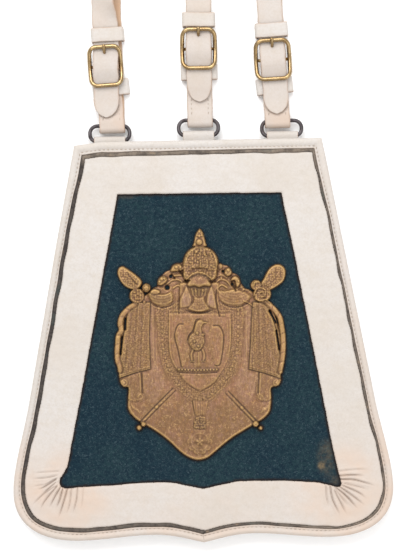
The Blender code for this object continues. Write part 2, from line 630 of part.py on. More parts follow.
def make_buckle(side, row):
    """A bowed frame with a bar across its middle."""
    place = buckle_place(row)
    points = []
    corners = rounded_rectangle(FRAME_HALF_WIDTH, FRAME_HALF_HEIGHT, FRAME_CORNER, CORNER_STEPS)
    half = len(corners) // 2
    middles = [(FRAME_HALF_WIDTH * s, 0.0) for s in (1, -1)]
    for across, up in [middles[0]] + corners[:half] + [middles[1]] + corners[half:]:
        end_share = min(1.0, (up / FRAME_HALF_HEIGHT / FRAME_FLAT_FROM) ** 2)
        height = FRAME_MID_Z + (FRAME_END_Z - FRAME_MID_Z) * end_share
        points.append(place @ Vector((across * (1 + FRAME_BULGE * (1 - end_share)), up, height)))
    frame = as_mesh(tube("buckle_" + side, points, FRAME_WIRE, BRASS, closed=True))
    reach = FRAME_HALF_WIDTH + 0.4 * MM
    ends = [place @ Vector((s * reach, 0, BAR_Z)) for s in (-1, 1)]
    boolean(frame, as_mesh(tube("bar_" + side, ends, BAR_RADIUS, BRASS, helper=True)), "UNION")


def make_tongue(side, row):
    """A wire tongue hooked round the buckle's bar, its end resting on the frame's top bar."""
    rest_z = FRAME_END_Z + FRAME_WIRE + GAP + TONGUE_RADIUS
    line = arc((0.0, BAR_Z), TONGUE_HOOK, 330, 50, 9) + [(y * MM, z * MM) for y, z in TONGUE_RISE]
    line += [(FRAME_HALF_HEIGHT, rest_z + 0.05 * MM), (TONGUE_REACH, rest_z - 0.1 * MM)]
    place = buckle_place(row)
    tube("tongue_" + side, [place @ Vector((0, y, z)) for y, z in line], TONGUE_RADIUS, BRASS, resolution=1)


def make_keeper(name, at, size, height, tilt):
    """A flat leather loop round the strap's layers. Its lower wall lies on the surface."""
    width, depth = size
    outer = rounded_rectangle(width / 2, height / 2, 2.2 * MM, 2)
    inner = rounded_rectangle(width / 2 - KEEPER_WALL, height / 2 - KEEPER_WALL, 0.4 * MM, 1)
    loop = plate(name, [outer, inner], -depth / 2, depth / 2, WHITE_LEATHER)
    stand = Matrix.Rotation(math.radians(90), 4, "X")
    turn = Matrix.Rotation(math.radians(tilt), 4, "Z")
    loop.matrix_world = Matrix.Translation((at[0] * MM, at[1] * MM, height / 2)) @ turn @ stand


def make_slings():
    head_room = STRAP_THICK / 2 + GAP + KEEPER_WALL
    for side, values in SLINGS.items():
        row = dict(zip(SLING_COLUMNS, values))
        make_ring(side, row)
        make_tab(side, row)
        make_sling(side, row)
        make_buckle(side, row)
        make_tongue(side, row)
        make_keeper("low_keeper_" + side, row["low_keeper"], LOW_KEEPER, RETURN_Z + head_room, row["low_tilt"])
        make_keeper(
            "high_keeper_" + side, row["high_keeper"], HIGH_KEEPER, UNDER_TOP_BAR_Z + head_room, row["high_tilt"]
        )


def mirrored(half):
    """A whole outline, in metres, from its right half, which runs from top to bottom in millimetres."""
    right = [(u * MM, v * MM) for u, v in half]
    left = [(-u, v) for u, v in reversed(right) if u > 0.01 * MM]
    return right + left


def plaque_place():
    return Matrix.Translation((*PLAQUE_AT, 0)) @ Matrix.Rotation(math.radians(PLAQUE_TILT_DEG), 4, "Z")


def relief_plate(name, outline_points, top, bevel):
    """A raised plate of the plaque, sunk into its base."""
    return as_mesh(plate(name, [outline_points], PLAQUE_ROOT_Z, top, OLD_BRASS, bevel, helper=True))


def boss(name, at, radii, turn_deg, detail, root):
    """An egg-shaped lump of the plaque at (u, v, height), with its own number of sides."""
    shape = bmesh.new()
    u, v, z = at
    place = Matrix.Translation((u * MM, v * MM, z * MM)) @ Matrix.Rotation(math.radians(turn_deg), 4, "Z")
    sized = place @ Matrix.Diagonal((radii[0] * MM, radii[1] * MM, radii[2] * MM, 1.0))
    bmesh.ops.create_uvsphere(shape, u_segments=detail, v_segments=detail // 2, radius=1.0, matrix=sized)
    cut = bmesh.ops.bisect_plane(
        shape, geom=shape.verts[:] + shape.edges[:] + shape.faces[:], plane_co=(0, 0, root),
        plane_no=(0, 0, 1), clear_inner=True,
    )
    rim = [e for e in cut["geom_cut"] if isinstance(e, bmesh.types.BMEdge)]
    bmesh.ops.holes_fill(shape, edges=rim)
    mesh = bpy.data.meshes.new(name)
    shape.to_mesh(mesh)
    shape.free()
    return link(name, mesh, OLD_BRASS, helper=True)


def rod(name, start, end, radius):
    return as_mesh(tube(name, [tuple(v * MM for v in p) for p in (start, end)], radius * MM, OLD_BRASS, helper=True))


def plaque_relief():
    """The plaque's raised pieces, which are cast in one with its base."""
    pieces = []
    for name, half, top, bevel in MIDDLE_PLATES:
        pieces.append(relief_plate(name, mirrored(half), top * MM, bevel * MM))
    for name, outline_half, top, bevel in PAIRED_PLATES:
        for side, sign in (("_left", -1), ("_right", 1)):
            points = [(sign * u * MM, v * MM) for u, v in outline_half]
            pieces.append(relief_plate(name + side, points, top * MM, bevel * MM))
    for name, paired, at, radii, turn_deg, detail, root in BOSSES:
        for side, sign in (("_left", -1), ("_right", 1)) if paired else (("", 1),):
            place = (sign * at[0], at[1], at[2])
            pieces.append(boss(name + side, place, radii, sign * turn_deg, detail, root))
    for name, start, end, radius in RODS:
        for side, sign in (("_left", -1), ("_right", 1)):
            ends = [(sign * u, v, z) for u, v, z in (start, end)]
            pieces.append(rod(name + side, *ends, radius))
    return pieces


def make_plaque():
    base = as_mesh(plate("plaque", [mirrored(PLATE_HALF)], *PLAQUE_BASE_Z, OLD_BRASS))
    place = plaque_place()
    base.matrix_world = place @ base.matrix_world
    for piece in plaque_relief():
        piece.matrix_world = place @ piece.matrix_world
        boolean(base, piece, "UNION")


make_panel()
make_border()
make_pouch()
make_slings()
make_plaque()
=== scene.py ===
import math

import bmesh
import bpy
import numpy as np
from mathutils import Matrix, Vector


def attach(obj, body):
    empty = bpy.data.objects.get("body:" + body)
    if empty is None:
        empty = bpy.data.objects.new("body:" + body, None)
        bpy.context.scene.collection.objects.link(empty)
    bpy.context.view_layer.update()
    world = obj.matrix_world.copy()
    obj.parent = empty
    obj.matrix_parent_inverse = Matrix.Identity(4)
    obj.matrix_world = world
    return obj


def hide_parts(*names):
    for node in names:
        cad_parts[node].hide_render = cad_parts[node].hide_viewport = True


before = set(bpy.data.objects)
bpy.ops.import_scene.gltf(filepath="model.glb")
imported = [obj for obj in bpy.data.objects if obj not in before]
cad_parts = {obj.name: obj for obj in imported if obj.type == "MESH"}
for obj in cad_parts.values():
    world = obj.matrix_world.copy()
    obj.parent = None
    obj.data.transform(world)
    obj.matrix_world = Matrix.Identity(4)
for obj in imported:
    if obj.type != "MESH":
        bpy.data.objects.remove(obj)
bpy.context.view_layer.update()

MM = 0.001

# Camera: straight above the panel, with the photograph's small roll
AIM = (3.9 * MM, 50.3 * MM, 20.0 * MM)
ROLL_DEG = 0.9
CAMERA_HEIGHT = 1.6
VIEW_HEIGHT = 432.9 * MM

# Panel outline, seen from the front
TOP_HALF_WIDTH = 96.8 * MM
TOP_Y = {"left_end": 154.8 * MM, "left": 157.4 * MM, "right": 158.0 * MM}
SIDE_FOOT = (134.8 * MM, -45.2 * MM)
WIDEST = (148.2 * MM, -115.0 * MM)
LOBE = (97.8 * MM, -153.6 * MM)
HOLLOW = (39.0 * MM, -149.9 * MM)
TIP_Y = -156.4 * MM
TIP_SLOPE = 0.22
# Reach of the curves' handles: out from the lobe, down and up from the widest place, and at the side's foot
LOBE_PULL, WIDEST_PULLS, SIDE_FOOT_PULL = 30.2 * MM, (26 * MM, 20 * MM), (4.7 * MM, 25 * MM)
SIDE_STATIONS, TOP_STATIONS = 420, 200

# Layers of the panel
POUCH_THICK, POUCH_WALL = 14.7 * MM, 2.0 * MM
POUCH_INSET, POUCH_MOUTH_Y = 22.0 * MM, 127.0 * MM
PANEL_Z = (15.0 * MM, 18.0 * MM)
CLOTH_Z = (18.3 * MM, 19.3 * MM)
PANEL_INSET = 2.3 * MM
FRONT_Z = 19.6 * MM
BORDER_TOP_Z = 21.4 * MM
BORDER_INSET = 9.0 * MM
PIPING_INSET = (6.45 * MM, 8.75 * MM)
# Extra distance in from the edge at the binding's and the piping's inner edges, for the right side, the top
# and the left side. The binding is also wider round the foot and at the shoulders.
EXTRA_FROM, EXTRA_FULL, EXTRA_PIPING = 2.0 * MM, 6.2 * MM, 8.75 * MM
BINDING_EXTRA = (0.1 * MM, 2.1 * MM, -0.25 * MM)
PIPING_EXTRA = (-0.45 * MM, 2.7 * MM, 0.1 * MM)
FOOT_EXTRA, FOOT_FROM_Y, FOOT_DEPTH = 0.8 * MM, -112.0 * MM, 22.0 * MM
SHOULDER_EXTRA, SHOULDER_FROM_Y, SHOULDER_DEPTH = 1.5 * MM, 88 * MM, 58 * MM

# Cloth window, anticlockwise from the dip in the middle of its foot, in millimetres
WINDOW = [
    (0.0, -114.3), (6.0, -113.2), (12.0, -112.0), (17.0, -110.9), (22.0, -109.8), (28.0, -109.0),
    (44.0, -108.8), (62.0, -109.2), (78.0, -110.0), (91.0, -111.1), (96.0, -112.4), (100.0, -113.6),
    (103.8, -114.9), (106.6, -114.6), (107.8, -112.4), (106.9, -108.8), (104.2, -97.0), (98.8, -70.0),
    (93.6, -40.0), (86.3, 0.0), (80.8, 30.0), (75.3, 60.0), (68.5, 95.0), (64.4, 115.7), (0.0, 116.1),
    (-63.3, 116.2), (-78.3, 40.0), (-86.3, 0.0), (-96.3, -50.0), (-105.7, -95.5), (-108.4, -100.2),
    (-111.4, -104.6), (-112.2, -108.2), (-110.8, -111.4), (-107.0, -112.7), (-98.0, -111.8),
    (-88.0, -111.4), (-72.0, -110.8), (-60.0, -109.9), (-44.0, -108.9), (-28.0, -109.0), (-22.0, -109.8),
    (-17.0, -110.9), (-12.0, -112.0), (-6.0, -113.2),
]

# Gathers at the window's lower corners: depth, then the fold's valley line, in millimetres from the corner
LEFT_GATHERS_AT, RIGHT_GATHERS_AT = (-110.7, -110.1), (104.5, -114.6)
LEFT_GATHERS = [
    (0.30, (-3.6, 11.0), (-13.0, 10.7), (-23.3, 9.9)), (0.45, (-5.4, 7.4), (-11.2, 6.3), (-23.7, 5.5)),
    (0.35, (-4.9, 5.2), (-13.0, 1.1), (-23.7, -0.4)), (0.85, (-5.4, 4.0), (-12.5, -0.4), (-18.4, -3.1)),
    (0.60, (-5.8, 1.3), (-12.5, -4.5), (-15.2, -6.3)), (0.55, (-7.2, -1.8), (-14.8, -7.2), (-23.7, -15.7)),
    (0.70, (-4.4, -1.6), (-13.4, -12.5), (-17.0, -19.7)), (0.80, (-1.3, -2.5), (-4.9, -8.3), (-9.9, -17.9)),
    (0.80, (0.7, -3.6), (-1.3, -10.8), (-4.7, -18.8)), (0.80, (4.5, -3.0), (2.5, -10.3), (-2.7, -26.2)),
    (0.50, (7.8, -3.4), (6.3, -14.3), (3.4, -23.7)), (0.60, (12.5, -2.4), (11.6, -11.6), (8.3, -23.3)),
    (0.25, (17.0, -2.4), (15.9, -14.8), (14.0, -20.0)),
]
RIGHT_GATHERS = [
    (0.35, (2.9, 12.5), (11.6, 13.4), (26.0, 13.4)), (0.75, (2.8, 8.7), (12.1, 9.2), (22.4, 8.4)),
    (0.80, (4.0, 5.9), (14.3, 5.2), (30.5, 0.2)), (0.45, (6.8, 2.4), (17.9, -0.4), (25.1, -2.7)),
    (0.75, (5.4, 0.6), (17.5, -5.2), (22.8, -10.1)), (0.75, (3.4, -1.0), (13.9, -8.7), (22.0, -15.5)),
    (0.90, (0.4, -1.6), (7.2, -7.6), (16.1, -17.9)), (0.50, (-0.9, -2.0), (4.0, -9.4), (8.5, -14.8)),
    (0.70, (-1.6, -4.0), (4.0, -15.7), (7.2, -22.0)), (0.85, (-5.4, -0.6), (-3.8, -9.9), (2.2, -22.8)),
    (0.50, (-9.0, -0.2), (-8.5, -8.1), (-6.7, -15.7)),
]
GATHER_RISE, GATHER_SHADE = 1.2 * MM, 0.95
GATHER_REACH, VALLEY_HALF, VALLEY_SHADE_HALF = 38, 0.62, 0.36
BORDER_PITCH, CLOTH_PITCH, PANEL_PITCH, POUCH_PITCH = 0.65 * MM, 1.1 * MM, 2.6 * MM, 2.0 * MM

STITCH_INSET, STITCH_PITCH, STITCH_Z = 4.9 * MM, 3.35 * MM, 20.98 * MM
STITCH_LENGTH, STITCH_RADIUS = 1.7 * MM, 0.36 * MM

# Gentle unevenness of the surfaces: each wave's height, length and seed
SEAM_WAVES = [(0.28 * MM, 26 * MM, 7)]
BINDING_WAVES = [(0.14 * MM, 16 * MM, 3), (0.09 * MM, 5 * MM, 4)]
PIPING_WAVES = [(0.15 * MM, 3.0 * MM, 8)]
BORDER_WAVES = [(0.18 * MM, 30 * MM, 11), (0.09 * MM, 8 * MM, 12)]
CLOTH_WAVES = [(0.10 * MM, 45 * MM, 31), (0.05 * MM, 12 * MM, 32)]
CUT_WAVES = [(0.15 * MM, 11 * MM, 21), (0.06 * MM, 4 * MM, 22)]
PLAQUE_WAVES = [(0.06, 4.0, 51), (0.10, 15.0, 52)]

# How much brighter the stage is than white paper needs, so that the floor's soft shadows stay pale
LIGHT_GAIN = 1.5


def linear(*levels):
    """Screen colour levels, 0 to 255, as the reflectance that shows them on this bright stage."""
    return tuple(((v / 255 / 12.92) if v <= 10 else ((v / 255 + 0.055) / 1.055) ** 2.4) / LIGHT_GAIN
                 for v in levels)


class Look:
    """A Principled material: colours laid over its first one, then its roughness and its bumps."""

    def __init__(self, name, base, roughness, metallic=0.0, specular=0.5):
        self.material = bpy.data.materials.new(name)
        self.material.use_nodes = True
        self.tree = self.material.node_tree
        self.shader = self.tree.nodes["Principled BSDF"]
        values = {"Roughness": roughness, "Metallic": metallic, "Specular IOR Level": specular}
        for socket, value in values.items():
            self.shader.inputs[socket].default_value = value
        self.place = self.add("ShaderNodeTexCoord").outputs["Object"]
        self.base = base
        self.normal = None

    def add(self, kind, **settings):
        node = self.tree.nodes.new(kind)
        for key, value in settings.items():
            setattr(node, key, value)
        return node

    def feed(self, socket, value):
        if isinstance(value, bpy.types.NodeSocket):
            self.tree.links.new(value, socket)
        else:
            socket.default_value = (*value, 1.0) if isinstance(value, tuple) else value

    def noise(self, size, detail=3.0, rough=0.55, stretch=(1, 1, 1), warp=0.0):
        """Noise from 0 to 1 whose blotches are about `size` millimetres wide."""
        mapping = self.add("ShaderNodeMapping")
        mapping.inputs["Scale"].default_value = tuple(1 / (size * MM * s) for s in stretch)
        self.feed(mapping.inputs["Vector"], self.place)
        node = self.add("ShaderNodeTexNoise")
        for key, value in (("Scale", 1.0), ("Detail", detail), ("Roughness", rough), ("Distortion", warp)):
            node.inputs[key].default_value = value
        self.feed(node.inputs["Vector"], mapping.outputs["Vector"])
        return node.outputs["Fac"]

    def cells(self, size):
        """Rounded cells `size` millimetres apart."""
        node = self.add("ShaderNodeTexVoronoi")
        node.inputs["Scale"].default_value = 1 / (size * MM)
        self.feed(node.inputs["Vector"], self.place)
        return node.outputs["Distance"]

    def attribute(self, name):
        return self.add("ShaderNodeAttribute", attribute_name=name).outputs["Fac"]

    def patches(self, size, low, high, least=0.0, most=1.0, detail=4, rough=0.55, *shape):
        """Noise with its range from low to high stretched to least and most, and held there."""
        node = self.add("ShaderNodeMapRange", interpolation_type="SMOOTHSTEP")
        self.feed(node.inputs["Value"], self.noise(size, detail, rough, *shape))
        for key, limit in zip(("From Min", "From Max", "To Min", "To Max"), (low, high, least, most)):
            node.inputs[key].default_value = limit
        return node.outputs["Result"]

    def marked(self, name, *patches):
        """A point attribute's strength, broken up by patches."""
        node = self.add("ShaderNodeMath", operation="MULTIPLY")
        self.feed(node.inputs[0], self.attribute(name))
        self.feed(node.inputs[1], self.patches(*patches))
        return node.outputs["Value"]

    def mix(self, share, first, second):
        node = self.add("ShaderNodeMix", data_type="RGBA")
        self.feed(node.inputs["Factor"], share)
        self.feed(node.inputs[6], first)
        self.feed(node.inputs[7], second)
        return node.outputs[2]

    def over(self, share, colour):
        """Lays a colour over those so far, as strongly as the share says."""
        self.base = self.mix(share, self.base, colour)
        self.feed(self.shader.inputs["Base Color"], self.base)

    def rough(self, value):
        self.feed(self.shader.inputs["Roughness"], value)

    def bump(self, height, depth, strength=1.0):
        """Adds a surface relief of about `depth` metres."""
        node = self.add("ShaderNodeBump")
        node.inputs["Strength"].default_value = strength
        node.inputs["Distance"].default_value = depth
        self.feed(node.inputs["Height"], height)
        if self.normal:
            self.feed(node.inputs["Normal"], self.normal)
        self.normal = node.outputs["Normal"]
        self.feed(self.shader.inputs["Normal"], self.normal)


def white_leather():
    look = Look("white_leather", linear(224, 218, 213), 0.7, specular=0.3)
    look.over(look.patches(42, 0.35, 0.7), linear(220, 211, 202))
    look.over(look.patches(9, 0.48, 0.75, 0, 0.45, 5, 0.65), linear(216, 205, 191))
    look.over(look.patches(1.6, 0.35, 0.75, 0, 0.6, 4, 0.75), linear(209, 198, 186))
    look.over(look.marked("warm", 16, 0.3, 0.7, 0.45, 1, 3, 0.5), linear(226, 204, 187))
    flesh = look.mix(look.noise(5, 5), linear(232, 200, 170), linear(216, 176, 142))
    look.over(look.attribute("flesh"), flesh)
    look.over(look.marked("edge", 7, 0.3, 0.7, 0.25, 0.8), linear(200, 164, 136))
    # Dark brown from a point attribute: painted shade in the binding's seam and in the gathers' valleys, and
    # an even darker tone on the slings
    look.over(look.attribute("crease"), linear(118, 88, 68))
    look.rough(look.patches(3, 0.3, 0.7, 0.6, 0.8))
    look.bump(look.noise(4.5, 4), 0.4 * MM, 0.6)
    look.bump(look.cells(0.9), 0.14 * MM, 0.6)
    return look.material


def pouch_leather():
    look = Look("pouch_leather", linear(222, 206, 184), 0.82)
    look.over(look.patches(45, 0.3, 0.7, 0, 1, 5), linear(200, 180, 154))
    look.over(look.patches(6, 0.5, 0.8, 0, 0.6, 5, 0.7), linear(180, 156, 128))
    # Painted shade colour from a point attribute, which the pouch's pieces do not carry
    look.over(look.attribute("crease"), linear(120, 92, 70))
    look.rough(look.patches(4, 0.3, 0.7, 0.72, 0.92))
    look.bump(look.noise(2.2, 6, 0.7), 0.35 * MM, 0.6)
    look.bump(look.noise(0.5, 3), 0.12 * MM, 0.6)
    return look.material


def blue_cloth():
    look = Look("blue_cloth", linear(30, 52, 63), 1.0, specular=0.08)
    look.over(look.patches(30, 0.35, 0.65), linear(39, 62, 68))
    look.over(look.patches(3.2, 0.40, 0.62, 0, 0.85, 4, 0.8), linear(24, 42, 55))
    look.over(look.patches(1.7, 0.52, 0.65, 0, 0.75, 3, 0.85, (1, 1, 1), 1.2), linear(72, 90, 97))
    look.over(look.marked("worn", 4, 0.34, 0.66, 0.1, 1, 6, 0.75), linear(142, 122, 92))
    # Dark from a point attribute: painted shade along the window's edge and painted shadow round the plaque
    look.over(look.attribute("crease"), linear(46, 39, 38))
    look.bump(look.noise(1.2, 5, 0.85), 0.5 * MM, 0.8)
    look.bump(look.noise(7, 4), 0.4 * MM, 0.4)
    return look.material


def dark_piping():
    look = Look("dark_piping", linear(68, 62, 60), 0.9, specular=0.15)
    look.over(look.patches(9, 0.35, 0.65, 0, 1, 5, 0.7), linear(92, 85, 80))
    look.over(look.patches(2.4, 0.46, 0.68, 0, 1, 4, 0.7), linear(50, 46, 46))
    look.over(look.patches(24, 0.56, 0.66, 0, 0.5, 3), linear(70, 84, 82))
    look.over(look.patches(11, 0.60, 0.70, 0, 0.8, 3, 0.6), linear(146, 124, 102))
    look.over(look.marked("pale", 5, 0.35, 0.65, 0.3, 1, 4, 0.7), linear(166, 150, 134))
    look.bump(look.noise(0.8, 4, 0.7), 0.3 * MM, 0.8)
    return look.material


def thread():
    look = Look("thread", linear(206, 192, 178), 0.85)
    look.over(look.noise(6, 3), linear(168, 150, 134))
    look.bump(look.noise(0.25, 2, 0.5, (1, 4, 1)), 0.06 * MM, 0.6)
    return look.material


def old_brass():
    look = Look("old_brass", linear(172, 123, 94), 0.5, metallic=0.5)
    look.over(look.patches(13, 0.38, 0.62), linear(158, 117, 80))
    look.over(look.attribute("olive"), linear(126, 94, 60))
    look.over(look.attribute("pale"), linear(178, 138, 116))
    look.over(look.patches(5, 0.48, 0.75, 0, 0.6, 5, 0.7), linear(152, 108, 74))
    look.over(look.patches(3.4, 0.50, 0.68, 0, 0.55, 4, 0.75, (1, 2.2, 1), 0.6), linear(174, 132, 120))
    look.over(look.patches(2.6, 0.53, 0.68, 0, 0.6, 3, 0.75, (1, 1.6, 1), 1.0), linear(184, 132, 66))
    look.over(look.patches(1.5, 0.36, 0.60, 0, 0.66, 4, 0.85, (0.7, 3.2, 1)), linear(122, 88, 56))
    look.over(look.patches(2.0, 0.54, 0.66, 0, 0.6, 3, 0.85, (1, 1, 1), 0.8), linear(220, 178, 122))
    look.over(look.attribute("hollow"), linear(92, 64, 38))
    look.over(look.attribute("rubbed"), linear(232, 190, 120))
    # Darkest brown from a point attribute: painted shade along the relief's edges, in its grooves and in the
    # visor's recess, and a darker tone on the helm's dome and the small crown
    look.over(look.attribute("crease"), linear(58, 40, 28))
    look.rough(look.patches(2.5, 0.3, 0.7, 0.46, 0.66, 5, 0.7))
    look.bump(look.noise(0.9, 4, 0.7), 0.14 * MM, 0.6)
    return look.material


def brass():
    look = Look("brass", linear(190, 163, 120), 0.22, metallic=1.0)
    look.over(look.patches(8, 0.4, 0.7), linear(166, 136, 94))
    look.over(look.patches(1.8, 0.6, 0.8, 0, 0.5), linear(128, 94, 54))
    look.rough(look.patches(3, 0.35, 0.75, 0.22, 0.4, 5, 0.7))
    look.bump(look.noise(1.6, 4), 0.05 * MM, 0.4)
    return look.material


def iron():
    look = Look("iron", linear(99, 93, 95), 0.42, metallic=0.85)
    look.over(look.patches(5, 0.4, 0.7), linear(64, 58, 61))
    look.over(look.patches(1.2, 0.58, 0.75, 0, 0.7), linear(112, 86, 70))
    look.rough(look.patches(2, 0.3, 0.7, 0.32, 0.6, 5, 0.7))
    look.bump(look.noise(0.9, 5, 0.7), 0.12 * MM, 0.5)
    return look.material


def floor_paint():
    look = Look("floor_paint", (0.95, 0.95, 0.95), 0.9)
    look.over(look.noise(200, 2), (0.97, 0.97, 0.97))
    return look.material


LOOKS = {make.__name__: make() for make in (
    white_leather, pouch_leather, blue_cloth, dark_piping, thread, old_brass, brass, iron, floor_paint,
)}


def piece(name, points, faces, look, replaces=(), slot=None, **attributes):
    """A smooth-shaded mesh that rides on the part, with its point attributes."""
    mesh = bpy.data.meshes.new(name)
    faces = faces.tolist() if isinstance(faces, np.ndarray) else faces
    mesh.from_pydata(np.asarray(points, float).tolist(), [], faces)
    for key, values in attributes.items():
        data = mesh.attributes.new(key, "FLOAT", "POINT").data
        data.foreach_set("value", np.asarray(values, np.float32))
    mesh.polygons.foreach_set("use_smooth", [True] * len(mesh.polygons))
    mesh.materials.append(LOOKS[look])
    obj = bpy.data.objects.new(name, mesh)
    bpy.context.scene.collection.objects.link(obj)
    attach(obj, "root")
    if replaces:
        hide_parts(*replaces)
    return obj


def outward(obj, weld=0.0):
    """Turns all faces of a closed mesh outwards, once its points nearer than `weld` are joined."""
    shape = bmesh.new()
    shape.from_mesh(obj.data)
    if weld:
        bmesh.ops.remove_doubles(shape, verts=shape.verts, dist=weld)
    bmesh.ops.recalc_face_normals(shape, faces=shape.faces)
    shape.to_mesh(obj.data)
    shape.free()
    return obj


def ease(t):
    t = np.clip(t, 0.0, 1.0)
    return t * t * (3 - 2 * t)


def ripple(x, y, length, seed, count=7):
    """A gentle irregular wave, about -1 to 1, with bumps about `length` apart."""
    rng = np.random.default_rng(seed)
    total = np.zeros_like(x, dtype=float)
    for _ in range(count):
        angle, phase, stretch = rng.uniform(0, 2 * np.pi), rng.uniform(0, 2 * np.pi), rng.uniform(0.7, 1.5)
        total += np.sin(2 * np.pi * (x * np.cos(angle) + y * np.sin(angle)) / (length * stretch) + phase)
    return total / count ** 0.5 / 1.4


def waves(x, y, rows):
    """Several ripples on top of each other."""
    return sum(height * ripple(x, y, length, seed) for height, length, seed in rows)


def bezier(start, pull, push, end, count):
    """Points of a cubic curve, without its last one."""
    t = np.arange(count)[:, None] / count
    s = 1 - t
    corners = [np.asarray(p, float) for p in (start, pull, push, end)]
    return sum(w * p for w, p in zip((s ** 3, 3 * s * s * t, 3 * s * t * t, t ** 3), corners))


def lengths(points):
    steps = np.linalg.norm(np.diff(points, axis=0), axis=1)
    return np.concatenate([[0.0], np.cumsum(steps)])


def resample(points, count, start=0.0, end=None):
    """Evenly spaced points along an open line, between two distances from its start."""
    points = np.asarray(points, float)
    run = lengths(points)
    at = np.linspace(start, run[-1] if end is None else end, count)
    return np.stack([np.interp(at, run, points[:, k]) for k in range(points.shape[1])], axis=1)


def right_side():
    """The outline's right side, from the hem's point to the top corner."""
    slope_end = (HOLLOW[0] * 0.34, TIP_Y + HOLLOW[0] * 0.34 * TIP_SLOPE)
    wave = LOBE[0] - HOLLOW[0]
    corner = (TOP_HALF_WIDTH, TOP_Y["right"])
    runs = [
        bezier((0.0, TIP_Y), slope_end, (HOLLOW[0] * 0.6, HOLLOW[1]), HOLLOW, 40),
        bezier(HOLLOW, (HOLLOW[0] + wave * 0.35, HOLLOW[1]), (LOBE[0] - wave * 0.35, LOBE[1]), LOBE, 40),
        bezier(LOBE, (LOBE[0] + LOBE_PULL, LOBE[1]), (WIDEST[0], WIDEST[1] - WIDEST_PULLS[0]), WIDEST, 60),
        bezier(WIDEST, (WIDEST[0], WIDEST[1] + WIDEST_PULLS[1]),
               (SIDE_FOOT[0] + SIDE_FOOT_PULL[0], SIDE_FOOT[1] - SIDE_FOOT_PULL[1]), SIDE_FOOT, 40),
        np.array([SIDE_FOOT, corner]),
    ]
    return resample(np.concatenate(runs), 900)


def outline_runs():
    """The outline's three runs between its hard corners: right side, top edge and left side."""
    right = right_side()
    left = right * (-1, 1)
    left[:, 1] -= (TOP_Y["right"] - TOP_Y["left_end"]) * ease((left[:, 1] - 70 * MM) / (88 * MM))
    middle = (0.0, (TOP_Y["left"] + TOP_Y["right"]) / 2)
    top = [right[-1], middle, (-TOP_HALF_WIDTH * 0.78, TOP_Y["left"]), left[-1]]
    return [right, resample(np.array(top), 400), left[::-1]]


RUNS = outline_runs()
RUN_COUNTS = (SIDE_STATIONS, TOP_STATIONS, SIDE_STATIONS)


def inset_run(index, distance):
    """One run of the outline moved inwards, cut where it meets its neighbours."""
    run = RUNS[index]
    tangent = np.gradient(run, axis=0)
    tangent /= np.linalg.norm(tangent, axis=1, keepdims=True)
    inward = np.stack([-tangent[:, 1], tangent[:, 0]], axis=1)
    own = run_distance(index, distance)
    before, after = run_distance(index - 1, distance), run_distance((index + 1) % 3, distance)
    cuts = []
    for here, there, mine, other in (
        (tangent[0], -_tangent_end(index - 1, -1), own[0], before[-1]),
        (-tangent[-1], _tangent_end((index + 1) % 3, 0), own[-1], after[0]),
    ):
        angle = math.acos(max(-1.0, min(1.0, float(np.dot(here, there)))))
        cuts.append((other + mine * math.cos(angle)) / math.sin(angle))
    along = lengths(run)
    moved = run + inward * own[:, None]
    at = np.linspace(cuts[0], along[-1] - cuts[1], RUN_COUNTS[index])
    return np.stack([np.interp(at, along, moved[:, k]) for k in range(2)], axis=1)


def run_distance(index, distance):
    """How far in a layer's edge lies at each point of a run: more where the binding is wider."""
    x, y = RUNS[index].T
    extra = np.interp(distance, (EXTRA_FROM, EXTRA_FULL, EXTRA_PIPING),
                      (0.0, BINDING_EXTRA[index], PIPING_EXTRA[index]))
    part = np.interp(distance, (EXTRA_FROM, EXTRA_FULL), (0.0, 1.0))
    side = 0.0 if index == 1 else 1.0
    foot = side * FOOT_EXTRA * ease((FOOT_FROM_Y - y) / FOOT_DEPTH) * np.clip(0.65 - x / (290 * MM), 0.3, 1.0)
    shoulder = side * SHOULDER_EXTRA * ease((y - SHOULDER_FROM_Y) / SHOULDER_DEPTH)
    from_corner = np.minimum(lengths(RUNS[index]), lengths(RUNS[index])[::-1])
    wander = ease(from_corner / (14 * MM)) * waves(x, y, SEAM_WAVES) * (distance > 5 * MM)
    return distance + extra + part * (foot + shoulder) + wander


def _tangent_end(index, end):
    run = RUNS[index]
    step = run[1] - run[0] if end == 0 else run[-1] - run[-2]
    return step / np.linalg.norm(step)


def inset_loop(distance):
    """The whole outline moved inwards, as one closed loop. Its hard corners are doubled stations."""
    return np.concatenate([inset_run(i, distance) for i in range(3)])


def band_faces(stations, sides):
    """Faces of a tube whose last station joins its first."""
    i, j = np.meshgrid(np.arange(stations), np.arange(sides), indexing="ij")
    k, after = (j + 1) % sides, (i + 1) % stations
    quads = [i * sides + j, i * sides + k, after * sides + k, after * sides + j]
    return np.stack(quads, axis=-1).reshape(-1, 4)


def tube_faces(stations, sides):
    """Faces of a tube with an end at its first and at its last station."""
    faces = [f for f in band_faces(stations, sides).tolist() if max(f) - min(f) < sides * 2]
    return faces + [list(range(sides))[::-1], [(stations - 1) * sides + k for k in range(sides)]]


def band(name, loops, look, **extra):
    """A closed solid from loops of the same length, each an array of (x, y, z)."""
    points = np.stack(loops, axis=1)
    stations, sides = points.shape[:2]
    return outward(piece(name, points.reshape(-1, 3), band_faces(stations, sides), look, **extra), WELD)


def line_normals(line, closed=True):
    """Unit vectors to the right of a line, at each of its points."""
    step = np.roll(line, -1, axis=0) - np.roll(line, 1, axis=0) if closed else np.gradient(line, axis=0)
    step /= np.linalg.norm(step, axis=1, keepdims=True)
    return np.stack([step[:, 1], -step[:, 0]], axis=1)


def subdivided(corners, pitch):
    """Points of a closed line, about the pitch apart on its longer sides."""
    line = []
    for a, b in zip(corners, corners[1:] + corners[:1]):
        steps = max(1, round(math.dist(a, b) / pitch))
        line += [(a[0] + (b[0] - a[0]) * k / steps, a[1] + (b[1] - a[1]) * k / steps) for k in range(steps)]
    return line


def raised(loop, height):
    """A flat loop at a height, or at one height for each point."""
    return np.column_stack([loop, np.broadcast_to(height, len(loop))])


WELD = 0.002 * MM
